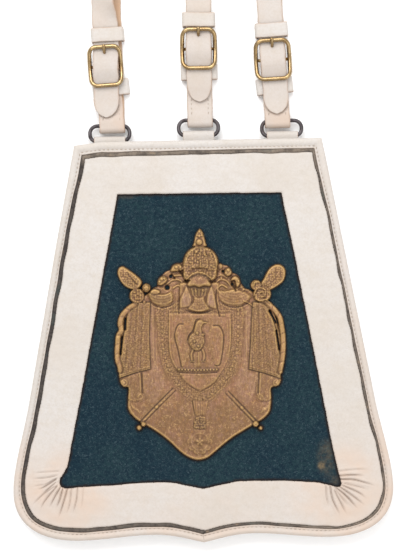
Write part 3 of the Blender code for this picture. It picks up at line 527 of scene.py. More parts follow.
# Section of the edge binding: distance in from the edge, height, and how much of the cut edge's tint it has
BINDING_SECTION = [
    (6.2, 19.6, 0.4), (6.2, 20.7, 0.8), (6.05, 21.05, 0.6), (5.6, 21.3, 0.1), (5.2, 21.15, 0),
    (4.9, 20.95, 0), (4.6, 21.1, 0), (4.1, 21.5, 0), (3.4, 21.85, 0), (2.6, 22.0, 0), (1.7, 21.75, 0),
    (0.9, 21.2, 0),
    (0.3, 20.3, 0), (0.05, 19.2, 0), (0.0, 17.4, 0), (0.05, 15.6, 0), (0.35, 14.0, 0), (1.1, 12.8, 0),
    (2.2, 12.2, 0), (3.4, 12.0, 0), (4.4, 12.2, 0), (5.2, 12.0, 0), (6.2, 12.0, 0.6), (6.2, 14.7, 0.4),
    (2.0, 14.7, 0), (2.0, 19.6, 0),
]
# The seam's dent in the binding: half widths of its line of painted shade and its hollow, in millimetres, and
# its depth
SEAM_SHADE, SEAM_HOLLOW, SEAM_DENT = 0.5, 1.8, 0.12 * MM
# The binding's smooth top, in millimetres: distances in from the edge, and the lowest height
BINDING_TOP_FROM, BINDING_TOP_TO, BINDING_TOP_ABOVE = 1.0, 6.1, 20.8


def make_binding():
    loops, edge, crease, warm = [], [], [], []
    run = lengths(inset_loop(STITCH_INSET))
    for inset_mm, height_mm, tint in BINDING_SECTION:
        loop = inset_loop(inset_mm * MM)
        x, y = loop.T
        height = np.full(len(loop), height_mm * MM)
        near = 0.0
        if BINDING_TOP_FROM < inset_mm < BINDING_TOP_TO and height_mm > BINDING_TOP_ABOVE:
            from_seam = abs(inset_mm - STITCH_INSET / MM)
            near = max(0.0, 1 - from_seam / SEAM_SHADE)
            pull = max(0.0, 1 - from_seam / SEAM_HOLLOW)
            height = height + waves(x, y, BINDING_WAVES)
            height = height - pull * SEAM_DENT * (1 + np.cos(2 * np.pi * run / STITCH_PITCH))
        loops.append(raised(loop, height))
        edge.append(np.full(len(loop), tint))
        # Painted shade along the seam's dent
        crease.append(np.full(len(loop), 0.12 * near))
        warm.append(0.75 * ease((y + 40 * MM) / (-70 * MM)) + 0.35 * ease((x - 80 * MM) / (50 * MM)))
    values = {key: np.stack(rows, axis=1).reshape(-1)
              for key, rows in (("edge", edge), ("crease", crease), ("warm", warm))}
    band("edge_binding", loops, "white_leather", replaces=["edge_binding"], **values)


def capsule(sides=6):
    """A flattened thread along X, one unit long and in half width, as points and faces."""
    stations = [(-0.5, 0.15), (-0.42, 0.75), (-0.2, 1.0), (0.2, 1.0), (0.42, 0.75), (0.5, 0.15)]
    angles = [2 * math.pi * k / sides for k in range(sides)]
    points = [(x, math.cos(a) * size, math.sin(a) * size * 0.8) for x, size in stations for a in angles]
    return np.array(points), tube_faces(len(stations), sides)


def stitches(name, seats, look="thread", slot="white_leather"):
    """Threads at seats, each (place, direction, length), joined into one piece."""
    shape, faces = capsule()
    all_points, all_faces = [], []
    for place, direction, length in seats:
        along = Vector(direction).normalized()
        side = Vector((0, 0, 1)).cross(along).normalized()
        up = along.cross(side)
        basis = np.array([along * length, side * STITCH_RADIUS, up * STITCH_RADIUS])
        offset = len(all_points) * len(shape)
        all_points.append(shape @ basis + np.array(place))
        all_faces += [[v + offset for v in f] for f in faces]
    return piece(name, np.concatenate(all_points), all_faces, look, slot=slot)


def seam_seats(line, pitch, length, height):
    """Seats along a line (x, y), spaced by the pitch."""
    fine = resample(line, int(lengths(line)[-1] / pitch) * 2 + 1)
    return [((*here, height), (*(there - here), 0.0), length) for here, there in zip(fine[1::2], fine[2::2])]


def make_binding_stitches():
    seats = []
    for index in range(3):
        seats += seam_seats(inset_run(index, STITCH_INSET), STITCH_PITCH, STITCH_LENGTH, STITCH_Z)
    stitches("binding_stitches", seats)


def right_end(x):
    """0 over the left half, rising to 1 at the right edge."""
    return ease((x - 40 * MM) / (60 * MM))


def covered():
    """How far the border's outer edge lies over the piping, as a vector at each point of the outline."""
    near, far = (inset_loop(distance) for distance in PIPING_INSET)
    x, y = near.T
    right = right_end(x)
    share = np.clip(0.08 + 0.14 * right + (0.14 + 0.14 * right) * ripple(x, y, 22 * MM, 9), 0, 0.45)
    return (near - far) * share[:, None]


# Section of the piping: share of its width, and height in millimetres
PIPING_SECTION = [
    (0, 19.6), (0, 21.1), (0.10, 21.45), (0.38, 21.6), (0.62, 21.6), (0.90, 21.45), (1, 21.1), (1, 19.6),
]


def make_piping():
    near, far = (inset_loop(distance) for distance in PIPING_INSET)
    far = far + covered()
    x, y = near.T
    top, foot = ease((y - 138 * MM) / (8 * MM)), ease((y + 95 * MM) / (-20 * MM))
    pale = 0.62 * top + 0.42 * right_end(x) + 0.25 * foot
    loops = []
    for share, height in PIPING_SECTION:
        loop = near + (far - near) * share
        lift = waves(*loop.T, PIPING_WAVES) if height > 21 else 0.0
        loops.append(raised(loop, height * MM + lift))
    band("dark_piping", loops, "dark_piping", replaces=["dark_piping"],
         pale=np.repeat(np.clip(pale + 0.03, 0, 0.8), len(loops)))


def gathers(x, y):
    """Height and shade of the folds that fan out from the window's lower corners."""
    lift, shade = np.zeros_like(x), np.zeros_like(x)
    for (at_x, at_y), lines in ((LEFT_GATHERS_AT, LEFT_GATHERS), (RIGHT_GATHERS_AT, RIGHT_GATHERS)):
        u, v = x / MM - at_x, y / MM - at_y
        near = np.hypot(u, v) < GATHER_REACH
        u, v = u[near], v[near]
        for depth, *points in lines:
            first, second = np.array(points[0]), np.array(points[1])
            before = first - (second - first) * 2.4 / np.hypot(*(second - first))
            line = smooth_2d([tuple(before), *points], False)
            gap, run, _ = line_field(u, v, line)
            total = lengths(line)[-1]
            fade = depth * ease((run + 0.6) / 2) * (1 - ease((run - total * 0.6) / (total * 0.42)))
            valley = np.exp(-(gap / VALLEY_HALF) ** 2)
            lift[near] += GATHER_RISE * fade * (0.6 * np.exp(-((gap - 1.5) / 0.8) ** 2) - valley)
            shade[near] += GATHER_SHADE * fade * np.exp(-(gap / VALLEY_SHADE_HALF) ** 2)
    return lift, np.clip(shade, 0, 0.8)


def make_border():
    def top(x, y, inside):
        lift, _ = gathers(x, y)
        rim = 0.6 * MM * (1 - ease(inside / (1.1 * MM)))
        swell = 0.25 * MM * ease(inside / (12 * MM))
        return np.maximum(BORDER_TOP_Z + lift + swell + waves(x, y, BORDER_WAVES) - rim, FRONT_Z + 0.4 * MM)

    def marks(x, y, inside):
        _, shade = gathers(x, y)
        rim = np.clip(1 - inside / (0.7 * MM), 0, 1)
        corners = np.hypot((np.abs(x) - 108 * MM) / (45 * MM), (y + 115 * MM) / (38 * MM))
        warm = 0.9 * (1 - ease((corners - 0.3) / 0.8)) + 0.25 * ease((y + 40 * MM) / (-60 * MM))
        # The gathers' valleys get painted shade; the cut edges and the corners get their own tints
        return {"crease": shade, "edge": 0.5 * rim, "warm": np.clip(warm, 0, 1)}

    slab("leather_border", inset_loop(BORDER_INSET) + covered(), BORDER_PITCH, top, FRONT_Z, "white_leather",
         hole=window_polygon(), replaces=["leather_border"], attributes=marks)


def signed_distance(x, y, polygon):
    """Distance inside a closed polygon, negative outside it, for arrays of points."""
    polygon = np.asarray(polygon, float)
    best = np.full(x.shape, 1e9)
    inside = np.zeros(x.shape, bool)
    for a, b in zip(polygon, np.roll(polygon, -1, axis=0)):
        edge = b - a
        size = float(edge @ edge)
        if size < 1e-18:
            continue
        t = np.clip(((x - a[0]) * edge[0] + (y - a[1]) * edge[1]) / size, 0, 1)
        best = np.minimum(best, (x - a[0] - t * edge[0]) ** 2 + (y - a[1] - t * edge[1]) ** 2)
        if abs(edge[1]) > 1e-12:
            crosses = (a[1] > y) != (b[1] > y)
            inside ^= crosses & (x < edge[0] * (y - a[1]) / edge[1] + a[0])
    return np.where(inside, 1, -1) * np.sqrt(best)


def trimmed_grid(x, y, field, pitch):
    """Cells of a grid where a signed distance is positive, their rim moved onto its zero line.

    Returns points (x, y), the grid index of each, and the faces."""
    reach = 0.5 * pitch
    slope_y, slope_x = np.gradient(field, pitch)
    steep = np.maximum(np.hypot(slope_x, slope_y), 0.3)
    near = np.abs(field) < reach
    shift = np.where(near, -field / steep ** 2, 0.0)
    px, py = x + slope_x * shift, y + slope_y * shift
    good = field > -reach
    cells = good[:-1, :-1] & good[1:, :-1] & good[:-1, 1:] & good[1:, 1:]
    middle = (field[:-1, :-1] + field[1:, :-1] + field[:-1, 1:] + field[1:, 1:]) / 4
    cells &= middle > 0.0
    for _ in range(4):
        first = cells[:-1, :-1] & cells[1:, 1:] & ~cells[:-1, 1:] & ~cells[1:, :-1]
        second = cells[:-1, 1:] & cells[1:, :-1] & ~cells[:-1, :-1] & ~cells[1:, 1:]
        cells[1:, 1:] &= ~first
        cells[1:, :-1] &= ~second
    index = np.arange(x.size).reshape(x.shape)
    rows, cols = np.nonzero(cells)
    quads = np.stack([index[rows, cols], index[rows, cols + 1],
                      index[rows + 1, cols + 1], index[rows + 1, cols]], 1)
    used = np.unique(quads)
    lookup = np.full(x.size, -1)
    lookup[used] = np.arange(len(used))
    return np.stack([px.ravel()[used], py.ravel()[used]], 1), used, lookup[quads]


def close_below(obj, bottom):
    """Closes an open upper surface with walls and a flat bottom at a height."""
    shape = bmesh.new()
    shape.from_mesh(obj.data)
    rim = [e for e in shape.edges if e.is_boundary]
    made = bmesh.ops.extrude_edge_only(shape, edges=rim)["geom"]
    for vert in (v for v in made if isinstance(v, bmesh.types.BMVert)):
        vert.co.z = bottom
    lower = [e for e in made if isinstance(e, bmesh.types.BMEdge) and e.is_boundary]
    bmesh.ops.triangle_fill(shape, edges=lower, use_beauty=False, use_dissolve=False)
    bmesh.ops.recalc_face_normals(shape, faces=shape.faces)
    shape.to_mesh(obj.data)
    shape.free()
    return obj


def slab(name, polygon, pitch, top, bottom, look, hole=None, **extra):
    """A flat piece of leather or cloth: an outline, a height for its top at each point, and its underside."""
    low, high = np.min(polygon, axis=0) - 2 * pitch, np.max(polygon, axis=0) + 2 * pitch
    x, y = np.meshgrid(np.arange(low[0], high[0], pitch), np.arange(low[1], high[1], pitch))
    field = signed_distance(x, y, resample_closed(polygon, 500))
    if hole is not None:
        field = np.minimum(field, -signed_distance(x, y, hole))
    flat, used, faces = trimmed_grid(x, y, field, pitch)
    inside = np.maximum(field.ravel()[used], 0)
    attributes = extra.pop("attributes", None)
    values = attributes(flat[:, 0], flat[:, 1], inside) if attributes else {}
    heights = top(flat[:, 0], flat[:, 1], inside)
    obj = piece(name, np.column_stack([flat, heights]), faces, look, **extra, **values)
    return close_below(obj, bottom)


def level(height):
    """A flat top for a slab."""
    return lambda x, y, inside: np.full_like(x, height)


# Worn patches in the cloth, most of them near the window's lower right corner: middle, radii and strength
WORN = [
    ((92.5, -97.5), (3.4, 4.6), 0.95), ((97.0, -92.0), (9.0, 16.0), 0.28),
    ((103.0, -110.0), (7.0, 5.0), 0.30), ((-58.0, 114.0), (9.0, 2.0), 0.25),
]


def make_cloth():
    polygon = resample_closed(inset_loop(PANEL_INSET), 300)
    window = window_polygon()

    def top(x, y, inside):
        return CLOTH_Z[1] + waves(x, y, CLOTH_WAVES)

    def marks(x, y, inside):
        worn = np.zeros_like(x)
        for (at_x, at_y), (wide, high), strength in WORN:
            spot = np.hypot((x / MM - at_x) / wide, (y / MM - at_y) / high)
            worn = np.maximum(worn, strength * (1 - ease((spot - 0.4) / 0.8)))
        # Painted shade along the window's edge under the border, and painted shadow round the plaque,
        # stronger and wider below it
        gap = signed_distance(x, y, window) / MM
        crease = 0.95 * (1 - ease((gap - 0.6 - 0.4 * ripple(x, y, 6 * MM, 33)) / 1.7)) * (gap > -1)
        u, v = to_plaque(x, y)
        outside = -plaque_shape(u, v)
        below = 1.0 - 0.45 * ease((v + 30) / 60)
        crease = np.maximum(crease, below * (1 - ease((outside - 0.2) / (1.9 * below))))
        return {"worn": worn, "crease": np.clip(crease, 0, 1)}

    cloth = slab("cloth_field", polygon, CLOTH_PITCH, top, CLOTH_Z[0], "blue_cloth", replaces=["cloth_field"],
                 attributes=marks)


def resample_closed(loop, count):
    return resample(np.concatenate([loop, loop[:1]]), count + 1)[:-1]


def window_polygon():
    """The window's outline, in metres, with the small unevenness of a cut edge."""
    loop = resample_closed(np.array(WINDOW) * MM, 700)
    x, y = loop.T
    ahead = np.roll(loop, -2, axis=0) - np.roll(loop, 2, axis=0)
    ahead /= np.linalg.norm(ahead, axis=1, keepdims=True)
    uneven = waves(x, y, CUT_WAVES)
    return loop + np.stack([-ahead[:, 1], ahead[:, 0]], axis=1) * uneven[:, None]


def make_panel():
    polygon = resample_closed(inset_loop(PANEL_INSET), 300)
    slab("panel_leather", polygon, PANEL_PITCH, level(PANEL_Z[1]), PANEL_Z[0], "pouch_leather",
         replaces=["panel_leather"])


def pouch_outline(extra=0.0):
    """The pouch's outline, from its left mouth corner round the foot to its right one."""
    right, left = inset_run(0, POUCH_INSET + extra), inset_run(2, POUCH_INSET + extra)
    right, left = right[right[:, 1] < POUCH_MOUTH_Y], left[left[:, 1] < POUCH_MOUTH_Y]
    return np.concatenate([left, right[1:]])


GUSSET_INSET, GUSSET_HALF, GUSSET_BULGE = 1.0 * MM, 0.9 * MM, 0.7 * MM
POUCH_SEAM_INSET, POUCH_STITCH_PITCH, POUCH_STITCH_LENGTH = 3.2 * MM, 3.6 * MM, 2.4 * MM


def make_pouch():
    """Two walls, the gusset between them and a row of stitches."""
    def soft(x, y, inside):
        return POUCH_THICK - 0.5 * MM * (1 - ease(inside / (1.6 * MM)))

    flat = resample_closed(pouch_outline(), 400)
    slab("pouch_back", flat, POUCH_PITCH, level(POUCH_WALL), 0.0, "pouch_leather", replaces=["back_pouch"])
    slab("pouch_front", flat, POUCH_PITCH, soft, POUCH_THICK - POUCH_WALL, "pouch_leather")
    path = resample(pouch_outline(GUSSET_INSET), 360)
    outside = line_normals(path, False)
    low, high = POUCH_WALL + 0.1 * MM, POUCH_THICK - POUCH_WALL - 0.1 * MM
    rings = []
    for side, shares in ((1, np.linspace(0, 1, 9)), (-1, np.linspace(1, 0, 9))):
        for share in shares:
            off = side * GUSSET_HALF + GUSSET_BULGE * math.sin(math.pi * share)
            rings.append(raised(path + outside * off, low + (high - low) * share))
    points = np.stack(rings, axis=1).reshape(-1, 3)
    outward(piece("pouch_gusset", points, tube_faces(len(path), len(rings)), "pouch_leather"))
    seats = seam_seats(pouch_outline(POUCH_SEAM_INSET), POUCH_STITCH_PITCH, POUCH_STITCH_LENGTH,
                       POUCH_THICK + 0.02 * MM)
    stitches("pouch_stitches", seats, slot="pouch_leather")


# Slings: the same heights and places as their solids
STRAP_WIDTH, STRAP_THICK = 19.8 * MM, 2.0 * MM
REAR_Z, RETURN_Z, TIP_Z = 2.8 * MM, 5.1 * MM, 7.5 * MM
UNDER_LOW_BAR_Z, OVER_BAR_Z, UNDER_TOP_BAR_Z = 9.2 * MM, 12.7 * MM, 8.9 * MM
UPPER_KEEPER_Z, UPPER_FRONT_Z = 8.3 * MM, 6.4 * MM
PHOTO_TOP_Y, SLING_END_Y = 268.0 * MM, 330.0 * MM
TIP_LENGTH, FOLD_SLACK, BIGHT_RADIUS = 15.0 * MM, 1.8 * MM, 6.0 * MM
RING_HALF_WIDTH, RING_HALF_HEIGHT, RING_CORNER = 15.6 * MM, 6.3 * MM, 5.8 * MM
RING_WIRE, RING_LOW_Z, RING_HIGH_Z, RING_RISE = 1.5 * MM, 7.7 * MM, 5.75 * MM, 12.4 * MM
TAB_WIDTH, TAB_HOLE, TAB_EYE = 24.4 * MM, 2.25 * MM, 3.95 * MM
TAB_FOOT_Y, TAB_THICK = 147.5 * MM, 3.6 * MM
FRAME_HALF_WIDTH, FRAME_HALF_HEIGHT, FRAME_CORNER = 12.9 * MM, 15.2 * MM, 5.5 * MM
FRAME_WIRE, FRAME_MID_Z, FRAME_END_Z = 1.65 * MM, 8.8 * MM, 12.2 * MM
FRAME_BULGE, FRAME_FLAT_FROM = 0.035, 0.9
BAR_RADIUS, BAR_Z, BAR_EYE = 1.3 * MM, 7.7 * MM, 2.6 * MM
TONGUE_RADIUS, TONGUE_HOOK, TONGUE_REACH = 0.9 * MM, 2.55 * MM, 16.6 * MM
TONGUE_RISE = [(9.6, 10.4), (12.0, 13.7)]
TONGUE_SWELL = 1.5
KEEPER_WALL = 1.5 * MM
LOW_KEEPER, HIGH_KEEPER = (29.0 * MM, 12.6 * MM), (26.0 * MM, 11.2 * MM)
GAP = 0.3 * MM
# The strap's fold round the ring: its middle height, and how far above the ring it comes down again
FOLD_Z, FOLD_DOWN = RING_HIGH_Z + 0.15 * MM, (2.5 * MM, 15 * MM)
KEEPER_CLEAR = 3 * MM
# Strap sections: how far apart they lie on the front, on the return layer and on the back
FRONT_PITCH, RETURN_PITCH, REAR_PITCH = 1.2 * MM, 1.5 * MM, 3 * MM
SLING_COLUMNS = (
    "ring", "tab_x", "tip", "low_keeper", "low_tilt", "buckle", "buckle_tilt", "high_keeper", "high_tilt",
    "front_low_x", "front_high_x", "front_top_x", "rear_ring_x", "rear_top_x", "return_top_x", "twist",
    "lift", "worn", "buckle_wide",
)
SLINGS = {
    "left": (
        (-69.2, 158.3), -69.2, (-71.6, 177.1), (-67.7, 200.4), 5.5, (-71.6, 217.4), 3.4, (-69.7, 242.2), 4.0,
        -71.2, -70.6, -73.2, -67.2, -69.1, -71.1, 30.0, 4.2, 0.95, 0.92,
    ),
    "centre": (
        (0.6, 161.8), 0.6, (1.9, 188.6), (1.8, 212.2), 0.0, (1.7, 229.9), 0.0, (2.0, 252.9), 0.0,
        1.8, 2.0, 2.2, 2.0, 2.2, 1.7, 0.0, 0.0, 0.3, 0.97,
    ),
    "right": (
        (66.0, 160.4), 66.4, (62.4, 177.9), (60.9, 200.4), 6.0, (59.8, 220.4), 2.5, (59.1, 243.9), 3.0,
        61.4, 58.8, 57.8, 62.9, 58.2, 60.0, 0.0, 0.0, 0.85, 0.99,
    ),
}


def along(knots, at, rounded=True):
    """A value read from (place, value) knots, in straight runs or level at each knot."""
    if at <= knots[0][0]:
        return knots[0][1]
    for (a, low), (b, high) in zip(knots, knots[1:]):
        if at <= b:
            share = (at - a) / (b - a)
            return low + (high - low) * (float(ease(share)) if rounded else share)
    return knots[-1][1]


def arc(centre, radius, start_deg, end_deg, steps):
    """Points (y, z) of an arc."""
    angles = [math.radians(start_deg + (end_deg - start_deg) * i / steps) for i in range(steps + 1)]
    return [(centre[0] + radius * math.cos(a), centre[1] + radius * math.sin(a)) for a in angles]


def spaced(start, end, pitch):
    count = max(1, round(abs(end - start) / pitch))
    return [start + (end - start) * i / count for i in range(count + 1)]


def return_knots(row):
    """Middles and heights of the layer that comes back up from the ring, as knots."""
    ring_y, buckle_y = row["ring"][1] * MM + RING_RISE, row["buckle"][1] * MM
    middles = [(ring_y, row["rear_ring_x"] * MM), (buckle_y, row["return_top_x"] * MM)]
    heights = [(ring_y + FOLD_DOWN[0], 2 * FOLD_Z - REAR_Z), (ring_y + FOLD_DOWN[1], RETURN_Z)]
    return middles, heights


def front_layer(row):
    """The strap from its rounded tip, over the buckle's bar, up to the crest of the bight."""
    tip_x, tip_y = (v * MM for v in row["tip"])
    low_y, high_y = row["low_keeper"][1] * MM, row["high_keeper"][1] * MM
    buckle_x, buckle_y = (v * MM for v in row["buckle"])
    crest_y, crest_z = SLING_END_Y - BIGHT_RADIUS, 2 * BIGHT_RADIUS + STRAP_THICK / 2
    top_z = UPPER_FRONT_Z + row["lift"] * MM
    below = along(return_knots(row)[1], tip_y)
    past_high = high_y + HIGH_KEEPER[1] / 2 + KEEPER_CLEAR
    heights = [
        (tip_y, max(TIP_Z, below + STRAP_THICK + 0.2 * MM)),
        (low_y - LOW_KEEPER[1] / 2 - KEEPER_CLEAR, UNDER_LOW_BAR_Z),
        (buckle_y - FRAME_HALF_HEIGHT, UNDER_LOW_BAR_Z), (buckle_y - 1 * MM, OVER_BAR_Z),
        (buckle_y + 1 * MM, OVER_BAR_Z), (buckle_y + FRAME_HALF_HEIGHT, UNDER_TOP_BAR_Z),
        (high_y, UPPER_KEEPER_Z), (past_high, UPPER_KEEPER_Z),
        (PHOTO_TOP_Y + 6 * MM, top_z), (PHOTO_TOP_Y + 18 * MM, top_z), (crest_y, crest_z),
    ]
    middles = [
        (tip_y, tip_x), (low_y, row["front_low_x"] * MM), (buckle_y, buckle_x),
        (high_y, row["front_high_x"] * MM), (PHOTO_TOP_Y, row["front_top_x"] * MM),
        (crest_y, row["rear_top_x"] * MM),
    ]
    twists = [(past_high, 0.0), (PHOTO_TOP_Y, row["twist"]), (crest_y - 12 * MM, 0.0)]
    path = []
    for i in range(24):
        reach = math.cos(math.radians(90 * i / 24))
        y = tip_y + TIP_LENGTH * (1 - reach)
        half = STRAP_WIDTH / 2 * max(0.06, math.sqrt(1 - reach ** 2.2))
        path.append((along(middles, y, False), y, along(heights, y), 0.0, half))
    for y in spaced(tip_y + TIP_LENGTH, crest_y, FRONT_PITCH):
        path.append((along(middles, y, False), y, along(heights, y), along(twists, y), STRAP_WIDTH / 2))
    return path

def level_run(middles, places):
    """Sections of the strap, without twist, at places (y, z)."""
    return [(along(middles, y, False), y, z, 0.0, STRAP_WIDTH / 2) for y, z in places]


def rear_layers(row):
    """The strap from the bight down the back, round the ring's upper bar and up to the buckle's bar."""
    ring_y = row["ring"][1] * MM + RING_RISE
    buckle_y = row["buckle"][1] * MM
    crest_y = SLING_END_Y - BIGHT_RADIUS
    fold_y, fold = ring_y - FOLD_SLACK, FOLD_Z - REAR_Z
    rear_z = [(ring_y, REAR_Z), (PHOTO_TOP_Y, REAR_Z), (PHOTO_TOP_Y + 25 * MM, STRAP_THICK / 2)]
    rear_x = [(ring_y, row["rear_ring_x"] * MM), (PHOTO_TOP_Y, row["rear_top_x"] * MM)]
    return_x, return_z = return_knots(row)
    bight = arc((crest_y, BIGHT_RADIUS + STRAP_THICK / 2), BIGHT_RADIUS, 90, -90, 24)[1:]
    down = [(y, along(rear_z, y)) for y in spaced(crest_y, fold_y, REAR_PITCH)[1:]]
    turn = arc((fold_y, FOLD_Z), fold, 270, 90, 20)[1:]
    up = [(y, along(return_z, y)) for y in spaced(fold_y, buckle_y, RETURN_PITCH)[1:]]
    eye = arc((buckle_y, BAR_Z), BAR_EYE, -90, 180, 24)[1:] + [(buckle_y - BAR_EYE, BAR_Z - 1.1 * MM)]
    return level_run(rear_x, bight + down + turn) + level_run(return_x, up + eye)


def lean_of(path):
    """The direction across the strap at each section, level with the surface."""
    across = []
    for i in range(len(path)):
        before, after = path[max(0, i - 5)], path[min(len(path) - 1, i + 5)]
        run = Vector((after[0] - before[0], after[1] - before[1]))
        if run.y < 0:
            run = -run
        across.append(Vector((run.y, -run.x, 0)).normalized() if run.length > 5 * MM else None)
    known = [i for i, a in enumerate(across) if a]
    return [a or across[min(known, key=lambda k: abs(k - i))] for i, a in enumerate(across)]


# Half of a strap's section: share of the half width, distance in from the edge, height over half the
# thickness, and the cut edge's tint
STRAP_SECTION = [
    (1.0, 0.0, 0.0, 1.0), (1.0, 0.08, 0.45, 1.0), (1.0, 0.3, 0.8, 0.8), (1.0, 0.75, 0.97, 0.25),
    (0.8, 0.0, 1.03, 0.0), (0.4, 0.0, 1.06, 0.0), (0.0, 0.0, 1.07, 0.0),
]


def strap_section():
    """The whole section, starting at the right edge on the flesh side."""
    quarter = STRAP_SECTION
    flesh = [(s, off, h, tint, 1.0) for s, off, h, tint in quarter]
    flesh += [(-s, -off, h, tint, 1.0) for s, off, h, tint in quarter[-2::-1]]
    grain = [(-s, -off, -h, tint, 0.0) for s, off, h, tint in quarter[1:]]
    grain += [(s, off, -h, tint, 0.0) for s, off, h, tint in quarter[-2:0:-1]]
    return flesh + grain


# Warm tint of the strap's front, and where the worn end above the ring fades: from, over
FRONT_WARM, WORN_FROM, WORN_OVER = 0.3, 38 * MM, 20 * MM


def make_sling(side, row):
    front, section = front_layer(row), strap_section()
    path = front + rear_layers(row)
    across = lean_of(path)
    ring_y = row["ring"][1] * MM
    points, edge, flesh, warm = [], [], [], []
    for i, (x, y, z, twist, half) in enumerate(path):
        before, after = path[max(0, i - 1)], path[min(len(path) - 1, i + 1)]
        tangent = Vector([after[k] - before[k] for k in range(3)])
        tangent = (tangent - across[i] * tangent.dot(across[i])).normalized()
        wide = Matrix.Rotation(math.radians(-twist), 3, tangent) @ across[i]
        thick = tangent.cross(wide).normalized() * STRAP_THICK / 2
        here = Vector((x, y, z))
        wobble = 1 + 0.012 * math.sin(y * 310 + half) + 0.008 * math.sin(y * 730)
        worn = row["worn"] * (1 - float(ease((y - ring_y - WORN_FROM) / WORN_OVER)))
        for share, off, height, tint, inner in section:
            points.append(here + wide * (share * half * wobble - off * MM) + thick * height)
            edge.append(tint)
            flesh.append(inner if tint < 0.5 else inner * 0.5)
            warm.append(FRONT_WARM if i < len(front) else worn)
    # The slings' leather is darkened evenly through the attribute that elsewhere carries painted shade
    sling = piece("sling_" + side, [tuple(p) for p in points], tube_faces(len(path), len(section)),
                  "white_leather", replaces=["sling_" + side], edge=edge, flesh=flesh, warm=warm,
                  crease=[0.09] * len(points))
    outward(sling)
    sling_stitches(side, row)


def sling_stitches(side, row):
    """Two rows of thread through the return layer, between the tip and the ring."""
    ring_y, tip_y = row["ring"][1] * MM + RING_RISE, row["tip"][1] * MM
    middles, heights = return_knots(row)
    seats = []
    for y in spaced(ring_y + 5 * MM, tip_y + 9 * MM, 3.6 * MM):
        middle = along(middles, y, False)
        height = along(heights, y) + STRAP_THICK / 2 + 0.05 * MM
        for offset in (-6.6 * MM, 6.6 * MM):
            seats.append(((middle + offset, y, height), (0.05, 1, -0.1), 2.2 * MM))
    stitches("sling_stitches_" + side, seats)


def rounded_rectangle(half_width, half_height, radius, steps):
    """Corner points of a rounded rectangle, anticlockwise, as (across, along)."""
    points = []
    for quarter, (sx, sy) in enumerate(((1, 1), (-1, 1), (-1, -1), (1, -1))):
        for i in range(steps + 1):
            angle = math.radians(90 * (quarter + i / steps))
            points.append((
                sx * (half_width - radius) + radius * math.cos(angle),
                sy * (half_height - radius) + radius * math.sin(angle),
            ))
    return points


def rod(name, points, radius, look, closed=False, sides=20, radii=None, **extra):
    """A smooth tube through points, closed with flat ends if it is open."""
    points = [Vector(p) for p in points]
    count = len(points)
    rings, normal = [], None
    for i, here in enumerate(points):
        before = points[i - 1] if closed or i > 0 else here
        after = points[(i + 1) % count] if closed or i < count - 1 else here
        tangent = (after - before).normalized()
        if normal is None:
            normal = Vector((0, 0, 1)) if abs(tangent.z) < 0.9 else Vector((0, 1, 0))
        normal = (normal - tangent * normal.dot(tangent)).normalized()
        other = tangent.cross(normal)
        size = radius * (radii[i] if radii else 1.0)
        rings.append([here + (normal * math.cos(a) + other * math.sin(a)) * size
                      for a in (2 * math.pi * k / sides for k in range(sides))])
    flat = [tuple(p) for ring in rings for p in ring]
    faces = band_faces(count, sides) if closed else tube_faces(count, sides)
    return outward(piece(name, flat, faces, look, **extra))


def smooth_line(points, closed=False, steps=6):
    """A finer line through the same points, without kinks."""
    points = [Vector(p) for p in points]
    count = len(points)
    fine = []
    for i in range(count if closed else count - 1):
        a, b = points[i], points[(i + 1) % count]
        before = points[i - 1] if closed or i > 0 else a
        after = points[(i + 2) % count] if closed or i < count - 2 else b
        for k in range(steps):
            t = k / steps
            fine.append(0.5 * (2 * a + (b - before) * t + (2 * before - 5 * a + 4 * b - after) * t * t
                               + (3 * a - 3 * b + after - before) * t ** 3))
    return fine if closed else fine + [points[-1]]


def make_ring(side, row):
    ring_x, low_y = (v * MM for v in row["ring"])
    points = []
    for across, up in rounded_rectangle(RING_HALF_WIDTH, RING_HALF_HEIGHT, RING_CORNER, 8):
        share = (up + RING_HALF_HEIGHT) / (2 * RING_HALF_HEIGHT)
        height = RING_LOW_Z + (RING_HIGH_Z - RING_LOW_Z) * share
        points.append((ring_x + across, low_y + RING_RISE * share, height))
    rod("ring_" + side, points, RING_WIRE, "iron", closed=True, replaces=["ring_" + side])


# Section across the tab: share of the half width, how far in from there, and how far its edge is worn down
TAB_SECTION = [
    (-1, 0.0, 0.35), (-1, 0.15 * MM, 0.12), (-1, 0.6 * MM, 0.0), (1, 0.6 * MM, 0.0), (1, 0.15 * MM, 0.12),
    (1, 0.0, 0.35),
]


